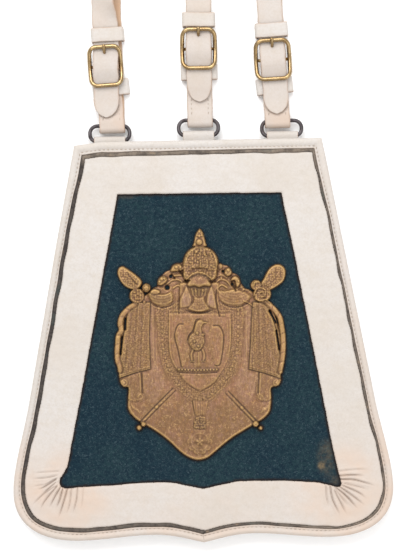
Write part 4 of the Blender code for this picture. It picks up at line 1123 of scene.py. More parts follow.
def make_tab(side, row):
    """A strip folded round the ring's lower bar, its two layers running back under the panel."""
    centre = (row["ring"][1] * MM, RING_LOW_Z)
    top = RING_LOW_Z + TAB_EYE
    low = top - TAB_THICK
    start_deg = math.degrees(math.asin((low - RING_LOW_Z) / TAB_EYE))
    outer = [(y, top) for y in np.linspace(TAB_FOOT_Y, centre[0], 12)[:-1]]
    outer += arc(centre, TAB_EYE, 90, -180 - start_deg, 30)
    outer += [(y, low) for y in np.linspace(outer[-1][0], TAB_FOOT_Y, 8)[1:]]
    outer = np.array(outer)
    inward = line_normals(outer)
    inward *= np.sign(np.sum(inward * (outer.mean(axis=0) - outer)))
    hole = np.array(arc(centre, TAB_HOLE, 0, 345, 23))
    half, x = TAB_WIDTH / 2, row["tab_x"] * MM
    shape = bmesh.new()
    for profile, worn in ((outer, inward * MM), (hole, np.zeros_like(hole))):
        rings = []
        for share, off, shrink in TAB_SECTION:
            across = share * (half - off)
            rings.append([shape.verts.new((x + across, y, z)) for y, z in profile + worn * shrink])
        for a, b in zip(rings, rings[1:]):
            for i in range(len(a)):
                k = (i + 1) % len(a)
                shape.faces.new((a[i], a[k], b[k], b[i]))
    for edge_x in (x - half, x + half):
        rim = [e for e in shape.edges if all(abs(v.co.x - edge_x) < 1e-6 for v in e.verts)]
        bmesh.ops.triangle_fill(shape, edges=rim, use_beauty=True)
    bmesh.ops.recalc_face_normals(shape, faces=shape.faces)
    shape.verts.index_update()
    points = [tuple(v.co) for v in shape.verts]
    faces = [[v.index for v in face.verts] for face in shape.faces]
    shape.free()
    edge = [1.0 if abs(abs(p[0] - x) - half) < 0.2 * MM else 0.0 for p in points]
    tab = piece("ring_tab_" + side, points, faces, "white_leather", replaces=["ring_tab_" + side], edge=edge)
    tab.data.set_sharp_from_angle(angle=math.radians(40))


def tilted_place(at, z, tilt):
    """A place in millimetres at a height, turned by some degrees as seen from above."""
    return Matrix.Translation((at[0] * MM, at[1] * MM, z)) @ Matrix.Rotation(math.radians(tilt), 4, "Z")


def make_buckle(side, row):
    place = tilted_place(row["buckle"], 0, row["buckle_tilt"])
    corners = rounded_rectangle(FRAME_HALF_WIDTH, FRAME_HALF_HEIGHT, FRAME_CORNER, 8)
    line = []
    for across, up in subdivided(corners, 1.2 * MM):
        end_share = min(1.0, (up / FRAME_HALF_HEIGHT / FRAME_FLAT_FROM) ** 2)
        height = FRAME_MID_Z + (FRAME_END_Z - FRAME_MID_Z) * end_share
        wide = row["buckle_wide"] * (1 + FRAME_BULGE * (1 - end_share))
        line.append(place @ Vector((across * wide, up, height)))
    rod("buckle_" + side, line, FRAME_WIRE, "brass", closed=True, replaces=["buckle_" + side])
    reach = FRAME_HALF_WIDTH * row["buckle_wide"] + 0.4 * MM
    ends = [place @ Vector((s * reach, 0, BAR_Z)) for s in (-1, -0.5, 0, 0.5, 1)]
    rod("bar_" + side, ends, BAR_RADIUS, "brass", sides=16)


def make_tongue(side, row):
    rest_z = FRAME_END_Z + FRAME_WIRE + GAP + TONGUE_RADIUS * TONGUE_SWELL
    knots = arc((0.0, BAR_Z), TONGUE_HOOK, 330, 50, 14) + [(y * MM, z * MM) for y, z in TONGUE_RISE]
    knots += [(FRAME_HALF_HEIGHT, rest_z + 0.05 * MM), (TONGUE_REACH, rest_z - 0.1 * MM)]
    place = tilted_place(row["buckle"], 0, row["buckle_tilt"])
    line = smooth_line([place @ Vector((0, y, z)) for y, z in knots], steps=4)
    run = np.linspace(0, 1, len(line))
    radii = (1.0 + (TONGUE_SWELL - 1) * ease((run - 0.78) / 0.14)).tolist()
    radii[-3:] = [1.35, 1.05, 0.55]
    rod("tongue_" + side, line, TONGUE_RADIUS, "brass", sides=14, radii=radii, replaces=["tongue_" + side])


# Section of a keeper's strip: share of the half depth, how far in from there, share of the half wall, and the
# cut edge's tint
KEEPER_SECTION = [
    (1, 0.0, 0.0, 1.0), (1, 0.08 * MM, 0.5, 1.0), (1, 0.35 * MM, 0.85, 0.7), (1, 1.0 * MM, 1.0, 0.1),
    (0.4, 0.0, 1.0, 0.0), (-0.4, 0.0, 1.0, 0.0), (-1, 1.0 * MM, 1.0, 0.1), (-1, 0.35 * MM, 0.85, 0.7),
    (-1, 0.08 * MM, 0.5, 1.0), (-1, 0.0, 0.0, 1.0), (-1, 0.08 * MM, -0.5, 1.0), (-1, 0.4 * MM, -0.95, 0.6),
    (1, 0.4 * MM, -0.95, 0.6), (1, 0.08 * MM, -0.5, 1.0),
]


def make_keeper(name, at, size, height, tilt, phase):
    """A leather loop: a rounded oblong swept with a soft-edged strip as its section."""
    width, depth = size
    wall = KEEPER_WALL
    corners = rounded_rectangle(width / 2 - wall / 2, height / 2 - wall / 2, 2.0 * MM, 8)
    line = np.array(subdivided(corners, 1.4 * MM))
    section = []
    for share, off, thick, tint in KEEPER_SECTION:
        section.append((share * depth / 2 - math.copysign(off, share), thick * wall / 2, tint))
    place = tilted_place(at, height / 2, tilt)
    points, edge = [], []
    for (x, z), (nx, nz) in zip(line, line_normals(line)):
        slant = 0.25 * MM * math.sin(x / (6 * MM) + phase)
        for across, thick, tint in section:
            points.append(tuple(place @ Vector((x + nx * thick, across + slant, z + nz * thick))))
            edge.append(tint)
    faces = band_faces(len(line), len(section))
    outward(piece(name, points, faces, "white_leather", replaces=[name], edge=edge))


def make_slings():
    head_room = STRAP_THICK / 2 + GAP + KEEPER_WALL
    for number, (side, values) in enumerate(SLINGS.items()):
        row = dict(zip(SLING_COLUMNS, values))
        for make in (make_ring, make_tab, make_sling, make_buckle, make_tongue):
            make(side, row)
        for level, size, z, phase in (
            ("low", LOW_KEEPER, RETURN_Z, number), ("high", HIGH_KEEPER, UNDER_TOP_BAR_Z, number + 3),
        ):
            make_keeper(f"{level}_keeper_{side}", row[level + "_keeper"], size, z + head_room,
                        row[level + "_tilt"], phase)


# Plaque: u across and v up from its middle, in millimetres
PLAQUE_AT, PLAQUE_TURN = (-0.6 * MM, -2.3 * MM), math.radians(-0.9)
PLAQUE_GRID, PLAQUE_PITCH, PLAQUE_BASE = ((-69.0, 69.0), (-92.5, 93.5)), 0.45, 1.9

# Outlines that make up the plaque's shape
BODY = [
    (-52.5, 32.8), (-56, 28.8), (-60.5, 21), (-62, 8), (-63.2, -2), (-63.8, -14.5),
    (-63.6, -24), (-62.2, -30.4), (-59.4, -33), (-56.2, -33.5), (-56.6, -42), (-56.4, -50.2),
    (-52.5, -56), (-46.3, -60.8), (-39.2, -64.7), (-31.4, -69.8), (-23.6, -76), (-17, -82.3),
    (-10.8, -87), (-4.4, -89.6), (0.2, -89.8),
    (5.8, -88.1), (11.2, -83.9), (17.6, -78.4), (25.5, -72.2), (33.3, -67.4), (41.1, -62.7), (48.9, -58),
    (53.6, -53.3), (55.1, -49.1), (55.6, -41), (55.5, -33.5), (60.6, -31.8), (63.1, -28.6), (63.2, -22.5),
    (63.2, -12), (62.8, 0), (61.5, 11), (58.5, 22), (53.8, 31.4), (44, 38), (40.3, 42.1),
    (35.3, 44.1), (24, 46), (0, 52), (-24, 46), (-33.4, 45.6), (-37.2, 44.1), (-41.5, 40),
]
CROWN = [
    (-10.6, 50), (-13.6, 57), (-14.2, 62), (-13.2, 67.6), (-11.4, 71.8), (-8.2, 75), (-4.8, 77.2),
    (-3.2, 79.6), (1.4, 79.6), (3.6, 77.2), (8.4, 75.2), (12, 71.4), (14.2, 66.6), (13.9, 60),
    (10.2, 50),
]
FINIAL = [
    (-5.6, 76.6), (-5.2, 80), (-4.6, 83.6), (-3.6, 87), (-1.8, 89.8), (-0.4, 90.8), (1.2, 89.6),
    (2.8, 86.6), (3.6, 83.4), (4.4, 80), (4.6, 76.6),
]
LEFT_HEAD = [
    (-64.8, 56.8), (-63.4, 60.6), (-60.2, 61.6), (-57, 59.8), (-50.6, 55.4), (-45.4, 50.2), (-46, 46),
    (-49.6, 42.8), (-54.6, 43.4), (-59.6, 46.2), (-63.4, 51.4),
]
RIGHT_HEAD = [
    (46.6, 47), (49.4, 52.4), (51.8, 57.4), (54.4, 60.8), (58.4, 63), (62.7, 62.9), (66, 60),
    (66.7, 55.6), (65.2, 50), (61.4, 46.6), (55.4, 42.9), (50, 41),
]
LEFT_SCROLLS = [
    (-12, 50), (-13, 63.4), (-15.6, 64), (-19.2, 63.8), (-22.2, 62), (-23.8, 58.8), (-27, 57.2),
    (-30.4, 54.2), (-33, 51.8), (-33.6, 47.6), (-32.8, 44), (-26, 42),
]
RIGHT_SCROLLS = [
    (11, 50), (12.6, 61.8), (15.4, 63.9), (18.2, 62.6), (21.6, 61.7), (24, 59.4), (25.2, 56.6),
    (28.6, 55), (30.9, 52.4), (31.8, 48.6), (34, 45.4), (36.4, 42), (24, 42),
]
SILHOUETTE = (BODY, CROWN, FINIAL, LEFT_HEAD, RIGHT_HEAD, LEFT_SCROLLS, RIGHT_SCROLLS)
ROUND_PARTS = [
    (-49.4, 38.4, 6.1), (-42, 44.5, 3.6), (48.2, 39.8, 7.2), (43.4, 46.6, 4.4), (-47.6, -64.4, 2.2),
    (-44.2, -61.6, 2.2), (47, -64.6, 1.8), (43.2, -61.4, 2.6),
]
LEFT_ROPE = [
    (-50.5, 32), (-54.8, 29.2), (-58.8, 25.6), (-61.4, 21.6), (-62.4, 16.6), (-61.6, 11.4), (-63.8, 7),
    (-64.4, 0), (-64.8, -6.5), (-64.3, -12), (-62.6, -17), (-62.2, -20),
]
RIGHT_ROPE = [
    (50.5, 34), (54.4, 31), (58.4, 26.8), (62, 21.4), (63.4, 14.6), (64.4, 7), (64.6, -2),
    (63.8, -11), (62, -20.6),
]
ROPE_HALF = 2.3
# Slots right through the plate: start, end, half width
SLOTS = [
    ((-58.4, 20.4), (-58.7, 12.4), 0.65), ((-60.9, 6.2), (-62.1, -7), 0.5),
    ((53.8, 26.8), (59, 17.6), 0.5), ((59.3, 11.2), (61.5, -3.4), 0.5),
]
# Holes in the scrolls: place, radius
HOLES = [(-25.8, 44.9, 1.7), (-23, 53.4, 1.2), (24.9, 47.4, 0.9), (17.7, 57.4, 0.9)]


def smooth_2d(points, closed=True, steps=4):
    return np.array([tuple(p) for p in smooth_line(points, closed, steps)])


def line_field(x, y, points):
    """Distance to a line, how far along it the nearest point is, and the side it lies on."""
    points = np.asarray(points, float)
    best, run, side = np.full(x.shape, 1e18), np.zeros(x.shape), np.zeros(x.shape)
    start = 0.0
    for a, b in zip(points, points[1:]):
        edge = b - a
        size = float(np.hypot(*edge))
        t = np.clip(((x - a[0]) * edge[0] + (y - a[1]) * edge[1]) / size ** 2, 0, 1)
        dx, dy = x - a[0] - t * edge[0], y - a[1] - t * edge[1]
        gap = dx * dx + dy * dy
        closer = gap < best
        best = np.where(closer, gap, best)
        run = np.where(closer, start + t * size, run)
        side = np.where(closer, np.sign(edge[0] * dy - edge[1] * dx), side)
        start += size
    return np.sqrt(best), run, side


def pebble_pattern(x, y, size, seed):
    """Rounded grains about `size` across, 0 between them and 1 on top."""
    rng = np.random.default_rng(seed)
    jitter = rng.uniform(0.18, 0.82, (64, 64, 2))
    cx, cy = np.floor(x / size).astype(int), np.floor(y / size).astype(int)
    best = np.full(x.shape, 9.0)
    for i in (-1, 0, 1):
        for j in (-1, 0, 1):
            spot = jitter[(cx + i) % 64, (cy + j) % 64]
            px, py = (cx + i + spot[..., 0]) * size, (cy + j + spot[..., 1]) * size
            best = np.minimum(best, np.hypot(x - px, y - py) / size)
    return 1 - ease(best / 0.62)


def blurred(field, radius):
    """A field averaged over about `radius` grid cells, three times."""
    for _ in range(3):
        for axis in (0, 1):
            pad = [(radius + 1, radius) if k == axis else (0, 0) for k in (0, 1)]
            total = np.cumsum(np.pad(field, pad, mode="edge"), axis=axis)
            size = 2 * radius + 1
            upper = np.take(total, range(size, total.shape[axis]), axis=axis)
            lower = np.take(total, range(0, total.shape[axis] - size), axis=axis)
            field = (upper - lower) / size
    return field


class Relief:
    """Heights over the plaque in millimetres, its painted shade and darkening, and its tone.

    The tone is olive above 0 and pale below it."""

    def __init__(self):
        self.u, self.v = np.meshgrid(*(np.arange(low, high, PLAQUE_PITCH) for low, high in PLAQUE_GRID))
        self.height = np.full_like(self.u, PLAQUE_BASE)
        self.shade = np.zeros_like(self.u)
        self.tone = np.zeros_like(self.u)

    def part(self, points, margin=3.0):
        """The rows and columns of the grid round some points."""
        low, high = np.min(points, axis=0) - margin, np.max(points, axis=0) + margin
        cols = np.searchsorted(self.u[0], (low[0], high[0]))
        rows = np.searchsorted(self.v[:, 0], (low[1], high[1]))
        return slice(*rows), slice(*cols)

    def within(self, points, smooth=True):
        """The part of the grid round an outline, and how far inside the outline it lies there."""
        points = smooth_2d(points) if smooth else np.asarray(points, float)
        area = self.part(points)
        return area, signed_distance(self.u[area], self.v[area], points)

    def lay(self, area, shape, share):
        """Blends a new surface over a part of the grid."""
        self.height[area] += (shape - self.height[area]) * share
        self.shade[area] *= 1 - share

    def plate(self, points, top, soft=1.2, crown=0.0, line=0.6, smooth=True, tone=None):
        """A raised part with a soft edge, painted shade just outside it, and higher by `crown` in its middle.
        """
        area, inside = self.within(points, smooth)
        share = ease((inside + 0.15) / soft)
        middle = np.clip(inside / max(float(inside.max()), 0.1), 0, 1)
        self.lay(area, top + crown * np.sqrt(np.clip(1 - (1 - middle) ** 2, 0, 1)), share)
        self.shade[area] += line * np.exp(-((inside + 0.3) / 0.45) ** 2)
        if tone is not None:
            self.tone[area] += (tone - self.tone[area]) * share

    def darken(self, points, amount, soft):
        """Shade over an outline's inside, fading in from its edge."""
        area, inside = self.within(points, False)
        self.shade[area] += amount * ease(inside / soft)

    def stroke(self, points, half, rise, line=0.0, smooth=True):
        """A ridge, or with a negative rise a groove, along a line."""
        points = smooth_2d(points, False) if smooth and len(points) > 2 else np.asarray(points, float)
        area = self.part(points)
        gap, _, _ = line_field(self.u[area], self.v[area], points)
        self.height[area] += rise * np.exp(-(gap / half) ** 2)
        # Painted shade along the ridge or groove, as strong as `line`
        self.shade[area] += line * np.exp(-(gap / (half * 0.8)) ** 2)

    def cord(self, points, half, low, rise, pitch, depth=0.35, slant=0.5, line=0.4):
        """A round raised cord, cut across into turns."""
        points = smooth_2d(points, False)
        area = self.part(points)
        gap, run, side = line_field(self.u[area], self.v[area], points)
        round_top = np.sqrt(np.clip(1 - (gap / half) ** 2, 0, 1))
        turns = np.abs(np.sin(np.pi * (run / pitch + slant * side * gap / half)))
        share = ease((half - gap) / 0.5 + 0.3)
        self.lay(area, low + rise * round_top * (1 - depth + depth * turns ** 0.6), share)
        # Painted shade in the cuts between turns and along the cord's sides
        self.shade[area] += line * share * np.clip(1 - turns / 0.3, 0, 1)
        self.shade[area] += 0.5 * np.exp(-((gap - half - 0.3) / 0.45) ** 2)

    def bead(self, u, v, radius, rise, line=0.4):
        """A small dome on whatever is under it."""
        area = self.part([(u, v)], radius + 2)
        gap = np.hypot(self.u[area] - u, self.v[area] - v)
        self.height[area] += rise * np.sqrt(np.clip(1 - (gap / radius) ** 2, 0, 1))
        # Painted shade cleared on the bead's top and laid round its foot
        self.shade[area] *= 1 - 0.8 * ease((radius - gap) / 0.5)
        self.shade[area] += line * np.exp(-((gap - radius) / 0.4) ** 2)

    def beads(self, points, pitch, radius, rise, line=0.3):
        """Beads along a line, the pitch apart."""
        run = resample(smooth_2d(points, False), 400)
        count = max(2, round(lengths(run)[-1] / pitch))
        for u, v in resample(run, count + 1):
            self.bead(float(u), float(v), radius, rise, line)

    def grain(self, points, size, depth, seed, line=0.35):
        """Pebbled texture inside an outline."""
        area, inside = self.within(points)
        share = ease(inside)
        grains = pebble_pattern(self.u[area] + 60, self.v[area] + 100, size, seed)
        self.height[area] += share * depth * (grains - 0.4)
        # Painted shade between the grains
        self.shade[area] += share * line * np.clip(0.45 - grains, 0, 1)

    def ribs(self, points, run, pitch, depth, line=0.3, sharp=0.7):
        """Ridges inside an outline; `run` gives the distance across them."""
        area, inside = self.within(points)
        share = ease(inside / 0.8)
        wave = np.abs(np.sin(np.pi * run(self.u[area], self.v[area]) / pitch)) ** sharp
        self.height[area] += share * depth * (wave - 0.55)
        # Painted shade in the valleys between the ribs
        self.shade[area] += share * line * np.clip(1 - wave / 0.4, 0, 1)


def plaque_shape(u, v):
    """Distance inside the plaque's outline, negative outside it and in its holes."""
    shape = np.full(u.shape, -99.0)
    for points in SILHOUETTE:
        shape = np.maximum(shape, signed_distance(u, v, smooth_2d(points)))
    for at_u, at_v, radius in ROUND_PARTS:
        shape = np.maximum(shape, radius - np.hypot(u - at_u, v - at_v))
    for rope in (LEFT_ROPE, RIGHT_ROPE):
        shape = np.maximum(shape, ROPE_HALF - line_field(u, v, smooth_2d(rope, False))[0])
    for start, end, half in SLOTS:
        shape = np.minimum(shape, line_field(u, v, (start, end))[0] - half)
    for at_u, at_v, radius in HOLES:
        shape = np.minimum(shape, np.hypot(u - at_u, v - at_v) - radius)
    return shape


# Mantle: hanging flaps at the sides, smooth strips beside the collar, and the turned ends under them
LEFT_FLAP = [
    (-53, 33), (-38.9, 33.4), (-39.3, 24), (-39.8, 7), (-38.8, -18.6), (-51.3, -21.6), (-63.9, -26),
    (-63.4, -17.7), (-61.2, -2), (-59.2, 11), (-56.4, 26),
]
RIGHT_FLAP = [
    (52.6, 33), (41, 33.6), (40.4, 28), (39.8, 15), (39.2, 0), (37.8, -18.6), (50, -21.6),
    (62.6, -26), (62.4, -12), (61.2, -2), (59, 12), (54.6, 27),
]
LEFT_STRIP = [
    (-40.2, 31), (-35.2, 30), (-34.8, 11), (-33, -8), (-31, -18), (-26.5, -31),
    (-36, -46), (-45, -38), (-45.8, -21.5), (-39.8, -19), (-40.8, 6),
]
RIGHT_STRIP = [
    (40.6, 29), (34.6, 29), (33.8, 11), (32.4, -8), (30.6, -18), (26, -32), (34.5, -48),
    (43, -38), (44.8, -22), (38.2, -19.5), (39.6, 6),
]
LEFT_END = [(-62.6, -27.4), (-53, -23.2), (-46.6, -21.6), (-46.2, -37), (-49, -44), (-56.4, -42),
            (-56.2, -33.6), (-60, -32.8)]
RIGHT_END = [(62.8, -26.2), (53, -23.4), (45.6, -21.8), (43.4, -37), (47.6, -43.6), (55.4, -42),
             (55.4, -34), (60, -32.6)]
# Fold lines on the flaps: top u, foot u
LEFT_FOLDS = [(-50.6, -57.6), (-47.4, -51.6), (-43.4, -45)]
RIGHT_FOLDS = [(43.4, 42), (46.6, 48), (50.2, 55.4)]
BEES = [
    (-49.4, 21.6), (-45.6, 12.4), (-50.6, 3.4), (-46.2, -6.4), (-52, -13.6), (51, 22.4), (46.6, 13),
    (52.4, 4.4), (47.8, -5.6), (54, -14.8), (-37, -31), (36.6, -32), (-27, -56), (26.6, -57),
    (-14.6, -66.4), (15.6, -66), (-12.4, -52.6), (13, -53), (-31.4, -62.6), (32, -62),
]

# Collar of the order round the shield, and the shield
COLLAR = [
    (-33, 31), (-33.6, 11.7), (-32.2, -4), (-28.2, -19), (-20, -32.4), (-10, -42), (0, -46.2),
    (10, -42), (20, -32.4), (28, -19), (32, -4), (33.2, 11.7), (32.6, 31), (0, 34),
]
COLLAR_LINE = [
    (-29.6, 31), (-29.8, 11.7), (-28.4, -4), (-24.4, -17.8), (-17, -30.2), (-8.4, -38.8), (0, -42.2),
    (8.4, -38.8), (17, -30.2), (24.4, -17.8), (28.4, -4), (29.6, 11.7), (29.2, 31),
]
SHIELD = [
    (-24.8, 25), (-25, 3.9), (-23.4, -9.6), (-18.9, -18.9), (-11.2, -29.6), (0, -36.4), (11.2, -29.6),
    (18.2, -18.9), (22.8, -9.6), (24.4, 3.9), (24.2, 25),
]
SHIELD_SIDES = [
    [(-24, 26), (-24.2, 3.9), (-22.6, -9.6), (-18, -18.6)], [(23.4, 20), (23.4, 4), (22.6, -5)],
]
SHIELD_FOOT = [(-14.6, -24.2), (-9.8, -30.2), (0, -35.2), (9.8, -30.2), (13.6, -24.4), (0, -23.6)]

# Eagle on the shield
LEFT_WING = [
    (-13.2, 16.4), (-17.4, 15.8), (-20, 9.4), (-19.6, 4), (-17.6, -3.1), (-16, -10.8), (-14.8, -16.8),
    (-11.6, -16), (-9.6, -9.5), (-7.6, -2), (-8.6, 6), (-10.4, 12.4),
]
RIGHT_WING = [
    (10.4, 15.2), (15, 14.8), (18, 9), (18.1, 0.5), (17, -7.6), (15.2, -15.4), (11.2, -15.8),
    (8.4, -9), (5.2, -2), (4.6, 5), (6.2, 11.6),
]
EAGLE_BODY = [(-3.4, 11), (-7.6, 8.4), (-9.6, 4.2), (-8.2, -0.6), (-4.4, -4.2), (-0.6, -4.2), (2.4, -0.6),
              (3.6, 4.2), (2.6, 8.4), (0.2, 11)]
EAGLE_HEAD = [(-4.8, 9), (-4.6, 13.4), (-3.6, 17.2), (-1.8, 19.6), (1.2, 19.9), (3, 18.8), (5.8, 17.9),
              (4.8, 16.8), (2.6, 16.4), (1.2, 13.4), (1, 9)]
EAGLE_TAIL = [(-4, -4), (-5, -15.6), (1.8, -15.6), (1, -4)]
EAGLE_LEGS = [[(-5.6, -3.6), (-7, -7.4), (-6.4, -12.2)], [(1.8, -3.6), (3, -7.4), (2.4, -12)]]
THUNDERBOLT = [(-16.6, -18.8), (-2, -19.4), (12.8, -18.9)]

# Helm, its mantling, and the swags and scrolls beside it
HELM_DOME = [
    (-10.4, 47.6), (-8.6, 50.6), (-5, 53), (-1, 53.8), (3, 53), (6.6, 50.6), (8.6, 47.8),
    (8.6, 46.2),
    (6.8, 45.4), (3, 45.8), (-0.8, 44.6), (-4.6, 45.8), (-8.4, 45.2), (-10.2, 46.2),
]
DOME_RIM = [(-11.2, 48.8), (-8.6, 52), (-5, 54.2), (-1, 55), (3.2, 54.2), (6.8, 52), (9.4, 49)]
VISOR = [(-9, 46.4), (-0.8, 46), (7.4, 46.4), (7.4, 42), (4.6, 38.6), (-1, 37.2), (-6.2, 38.6),
         (-8.8, 42)]
THROAT = [
    (-5, 38.6), (-1, 37.6), (3.2, 38.6), (4.2, 34), (7.6, 28.6), (4, 26.4), (-1, 25.4),
    (-6, 26.4),
    (-9.8, 28.6), (-5.8, 34),
]
LEFT_MANTLING = [(-11.2, 46), (-8.6, 43.6), (-6.4, 36), (-7.6, 30.2), (-12.4, 29), (-16, 29.2),
                 (-16, 35.8), (-13.2, 42.2)]
RIGHT_MANTLING = [(6.6, 44.6), (9.6, 45.6), (12.2, 36), (13, 28.6), (8, 29), (4.6, 32.2), (5.2, 39.8)]
LEFT_SWAG = [
    (-41.6, 39.6), (-39, 34), (-36, 31.2), (-32, 29.4), (-27.6, 29.2), (-23.4, 31), (-20.4, 34.2),
    (-20.2, 39.8), (-23, 42.6), (-28, 41), (-34, 41.4), (-38.4, 42.6),
]
RIGHT_SWAG = [
    (11.2, 43.4), (13.4, 36.2), (17.7, 31.7), (24.4, 29.8), (31.1, 29.9), (36.9, 33), (40.4, 38),
    (35, 42.6), (26.6, 44.6), (19, 43.6),
]
SWAG_CENTRES = {"left": (-30.4, 50), "right": (26.4, 52)}
LEFT_LEAF = [(-33.6, 47.4), (-32.8, 51.6), (-29.6, 54), (-26.4, 53.2), (-25.4, 50.4), (-27.6, 47.8),
             (-30.6, 46.2)]
LEFT_ARCH = [(-23.4, 57.4), (-21.6, 61.8), (-18.2, 63.4), (-14.8, 62.8), (-12.6, 59.6), (-15, 57.8),
             (-19.6, 57.2)]
RIGHT_LEAF = [(18.4, 55.6), (19.6, 59.6), (22.6, 60.4), (24.8, 57.8), (24, 54.6), (21, 53.4)]
RIGHT_ARCH = [(23.4, 50), (24.8, 53), (27.6, 54), (30.8, 51.4), (31.2, 47.6), (28.6, 44.6),
              (27.4, 47.4), (26.6, 50.2)]
SCROLL_LINES = [
    [(-26, 47.6), (-22, 50.6), (-17, 51), (-12.6, 47.8)],
    [(-24.6, 50.8), (-20.4, 54), (-14, 54.6)], [(-21, 44.6), (-17.6, 46.6), (-14, 44.4)],
    [(12, 47.8), (15, 51), (20, 50.4), (23.2, 46.4)], [(12.6, 53.4), (16.4, 54.6), (20.6, 52.6)],
    [(14, 45), (17, 47), (20.6, 44.8)], [(32, 45.6), (34.6, 43.6), (37.6, 43.4)],
    [(28.4, 43.8), (31, 45), (33, 43)],
]

# Staves, order ribbon, its crown and its cross
STAVES = [[(-20.4, -34.6), (-34, -48.2), (-46.4, -61.2)], [(20.8, -36.8), (32.4, -48.8), (43.6, -60.6)]]
RIBBON = [(-6.4, -43), (6.6, -43), (3.8, -54.6), (-4.2, -54.6)]
ORDER_CROWN = [(-4.8, -56.2), (-5.2, -65.2), (4.4, -65.2), (4.2, -56.2), (0, -55)]
CROSS_AT, CROSS_REACH, CROSS_ARMS = (-0.4, -75.2), 10.2, 5


def folds(relief, lines, top, foot, depth):
    """Long hanging folds: a ridge beside a groove at each line."""
    for upper, lower in lines:
        relief.stroke([(upper, top), (lower, foot)], 1.2, depth)
        relief.stroke([(upper - 1.7, top), (lower - 1.7, foot)], 0.8, -depth * 0.7, 0.22)


def carve_mantle(relief):
    relief.plate(BODY, 2.5, soft=1.6, crown=0.8, line=0.3)
    relief.ribs(BODY, lambda u, v: u * (1 + (v + 40) * 0.002) + 3, 4.6, 0.07, 0.05, 1.0)
    for points in (LEFT_STRIP, RIGHT_STRIP):
        relief.plate(points, 3.1, soft=2.6, crown=0.5, line=0.1, tone=-0.55)
    for u in (-37.0, -34.6, 35.4):
        relief.stroke([(u, 29.0), (u + 0.6, -12.0)], 0.45, 0.22)
    for points, sign in ((LEFT_END, -1), (RIGHT_END, 1)):
        relief.plate(points, 3.0, soft=0.9, crown=0.5, line=0.4, tone=0.5)
        relief.ribs(points, lambda u, v: u - v * 0.12, 3.4, 0.12, 0.08)
        relief.stroke([(sign * 45.6, -21.8), (sign * 44.8, -37.4)], 0.5, -0.6, 0.9)
        relief.stroke([(sign * 47.2, -22.2), (sign * 46.2, -38.4)], 0.5, 0.4)
    for points, sign in ((LEFT_FLAP, -1), (RIGHT_FLAP, 1)):
        relief.plate(points, 3.9, soft=0.6, crown=0.5, line=1.0, smooth=False, tone=0.5)
        relief.grain(points, 1.4, 0.24, 40 + sign, 0.45)
        relief.ribs(points, lambda u, v, sign=sign: u + sign * (v - 30) * 0.05 + 40, 2.3, 0.14, 0.16)
    folds(relief, LEFT_FOLDS, 30.0, -20.0, 0.14)
    folds(relief, RIGHT_FOLDS, 30.0, -20.0, 0.14)
    for hem in (
        [(-63.6, -23.8), (-51.3, -19.7), (-39.4, -16.8)], [(62.4, -23.8), (50.0, -19.7), (38.6, -16.8)],
    ):
        relief.stroke(hem, 0.4, 0.2, 0.0, False)
        relief.stroke([(u, v - 0.8) for u, v in hem], 0.4, -0.2, 0.3, False)
    for sign in (-1, 1):
        relief.bead(sign * 59.4, -29.4, 3.1, 0.9, 0.3)
        relief.stroke([(sign * 59.4, -27.6), (sign * 57.8, -29.4), (sign * 59.4, -31.0)], 0.5, -0.4, 0.4)
        relief.bead(sign * 46.6, -40.4, 3.7, 0.5, 0.2)
        curl = [(48.8, -40.4), (46.6, -38.4), (44.8, -40.6), (46.8, -42.2)]
        relief.stroke([(sign * u, v) for u, v in curl], 0.5, 0.45, 0.2)
        for k in range(5):
            start = (sign * (53.8 - k * 1.3), -46.6 - k * 0.9)
            relief.stroke([start, (start[0] - sign * 1.4, start[1] - 2.6)], 0.45, 0.4)
    edge = smooth_2d([(u * 0.975, v * 0.982) for u, v in BODY if v < -42], False)
    relief.stroke(edge, 0.6, 0.4, 0.0, False)
    for u, v in BEES:
        for du, dv, radius, rise, line in ((0, -0.6, 0.9, 0.2, 0.1), (-1.1, 0.7, 0.7, 0.16, 0.08),
                                           (1.1, 0.7, 0.7, 0.16, 0.08)):
            relief.bead(u + du, v + dv, radius, rise, line)


def carve_collar(relief):
    relief.plate(COLLAR, 3.6, soft=1.6, crown=0.2, line=0.3, tone=0.25)
    relief.grain(COLLAR, 1.4, 0.36, 7, 0.65)
    relief.beads(COLLAR_LINE, 3.4, 1.2, 0.3, 0.3)
    for scale in (0.865, 1.115):
        rail = [(u * scale, (v - 31) * (scale * 0.55 + 0.45) + 31) for u, v in COLLAR_LINE]
        relief.stroke(rail, 0.45, 0.22)
    relief.plate(SHIELD, 4.1, soft=1.0, crown=0.8, line=0.2, smooth=False, tone=0.0)
    relief.ribs(SHIELD, lambda u, v: v, 1.56, 0.07, 0.07, 1.0)
    for side in SHIELD_SIDES:
        relief.stroke(side, 0.5, 0.32)
        relief.stroke([(u * 0.9, v) for u, v in side], 0.45, 0.18, 0.08)
    relief.stroke([(-24.0, 26.6), (24.0, 26.6)], 0.5, 0.3)
    relief.plate(SHIELD_FOOT, 4.7, soft=1.8, crown=0.2, line=0.1)


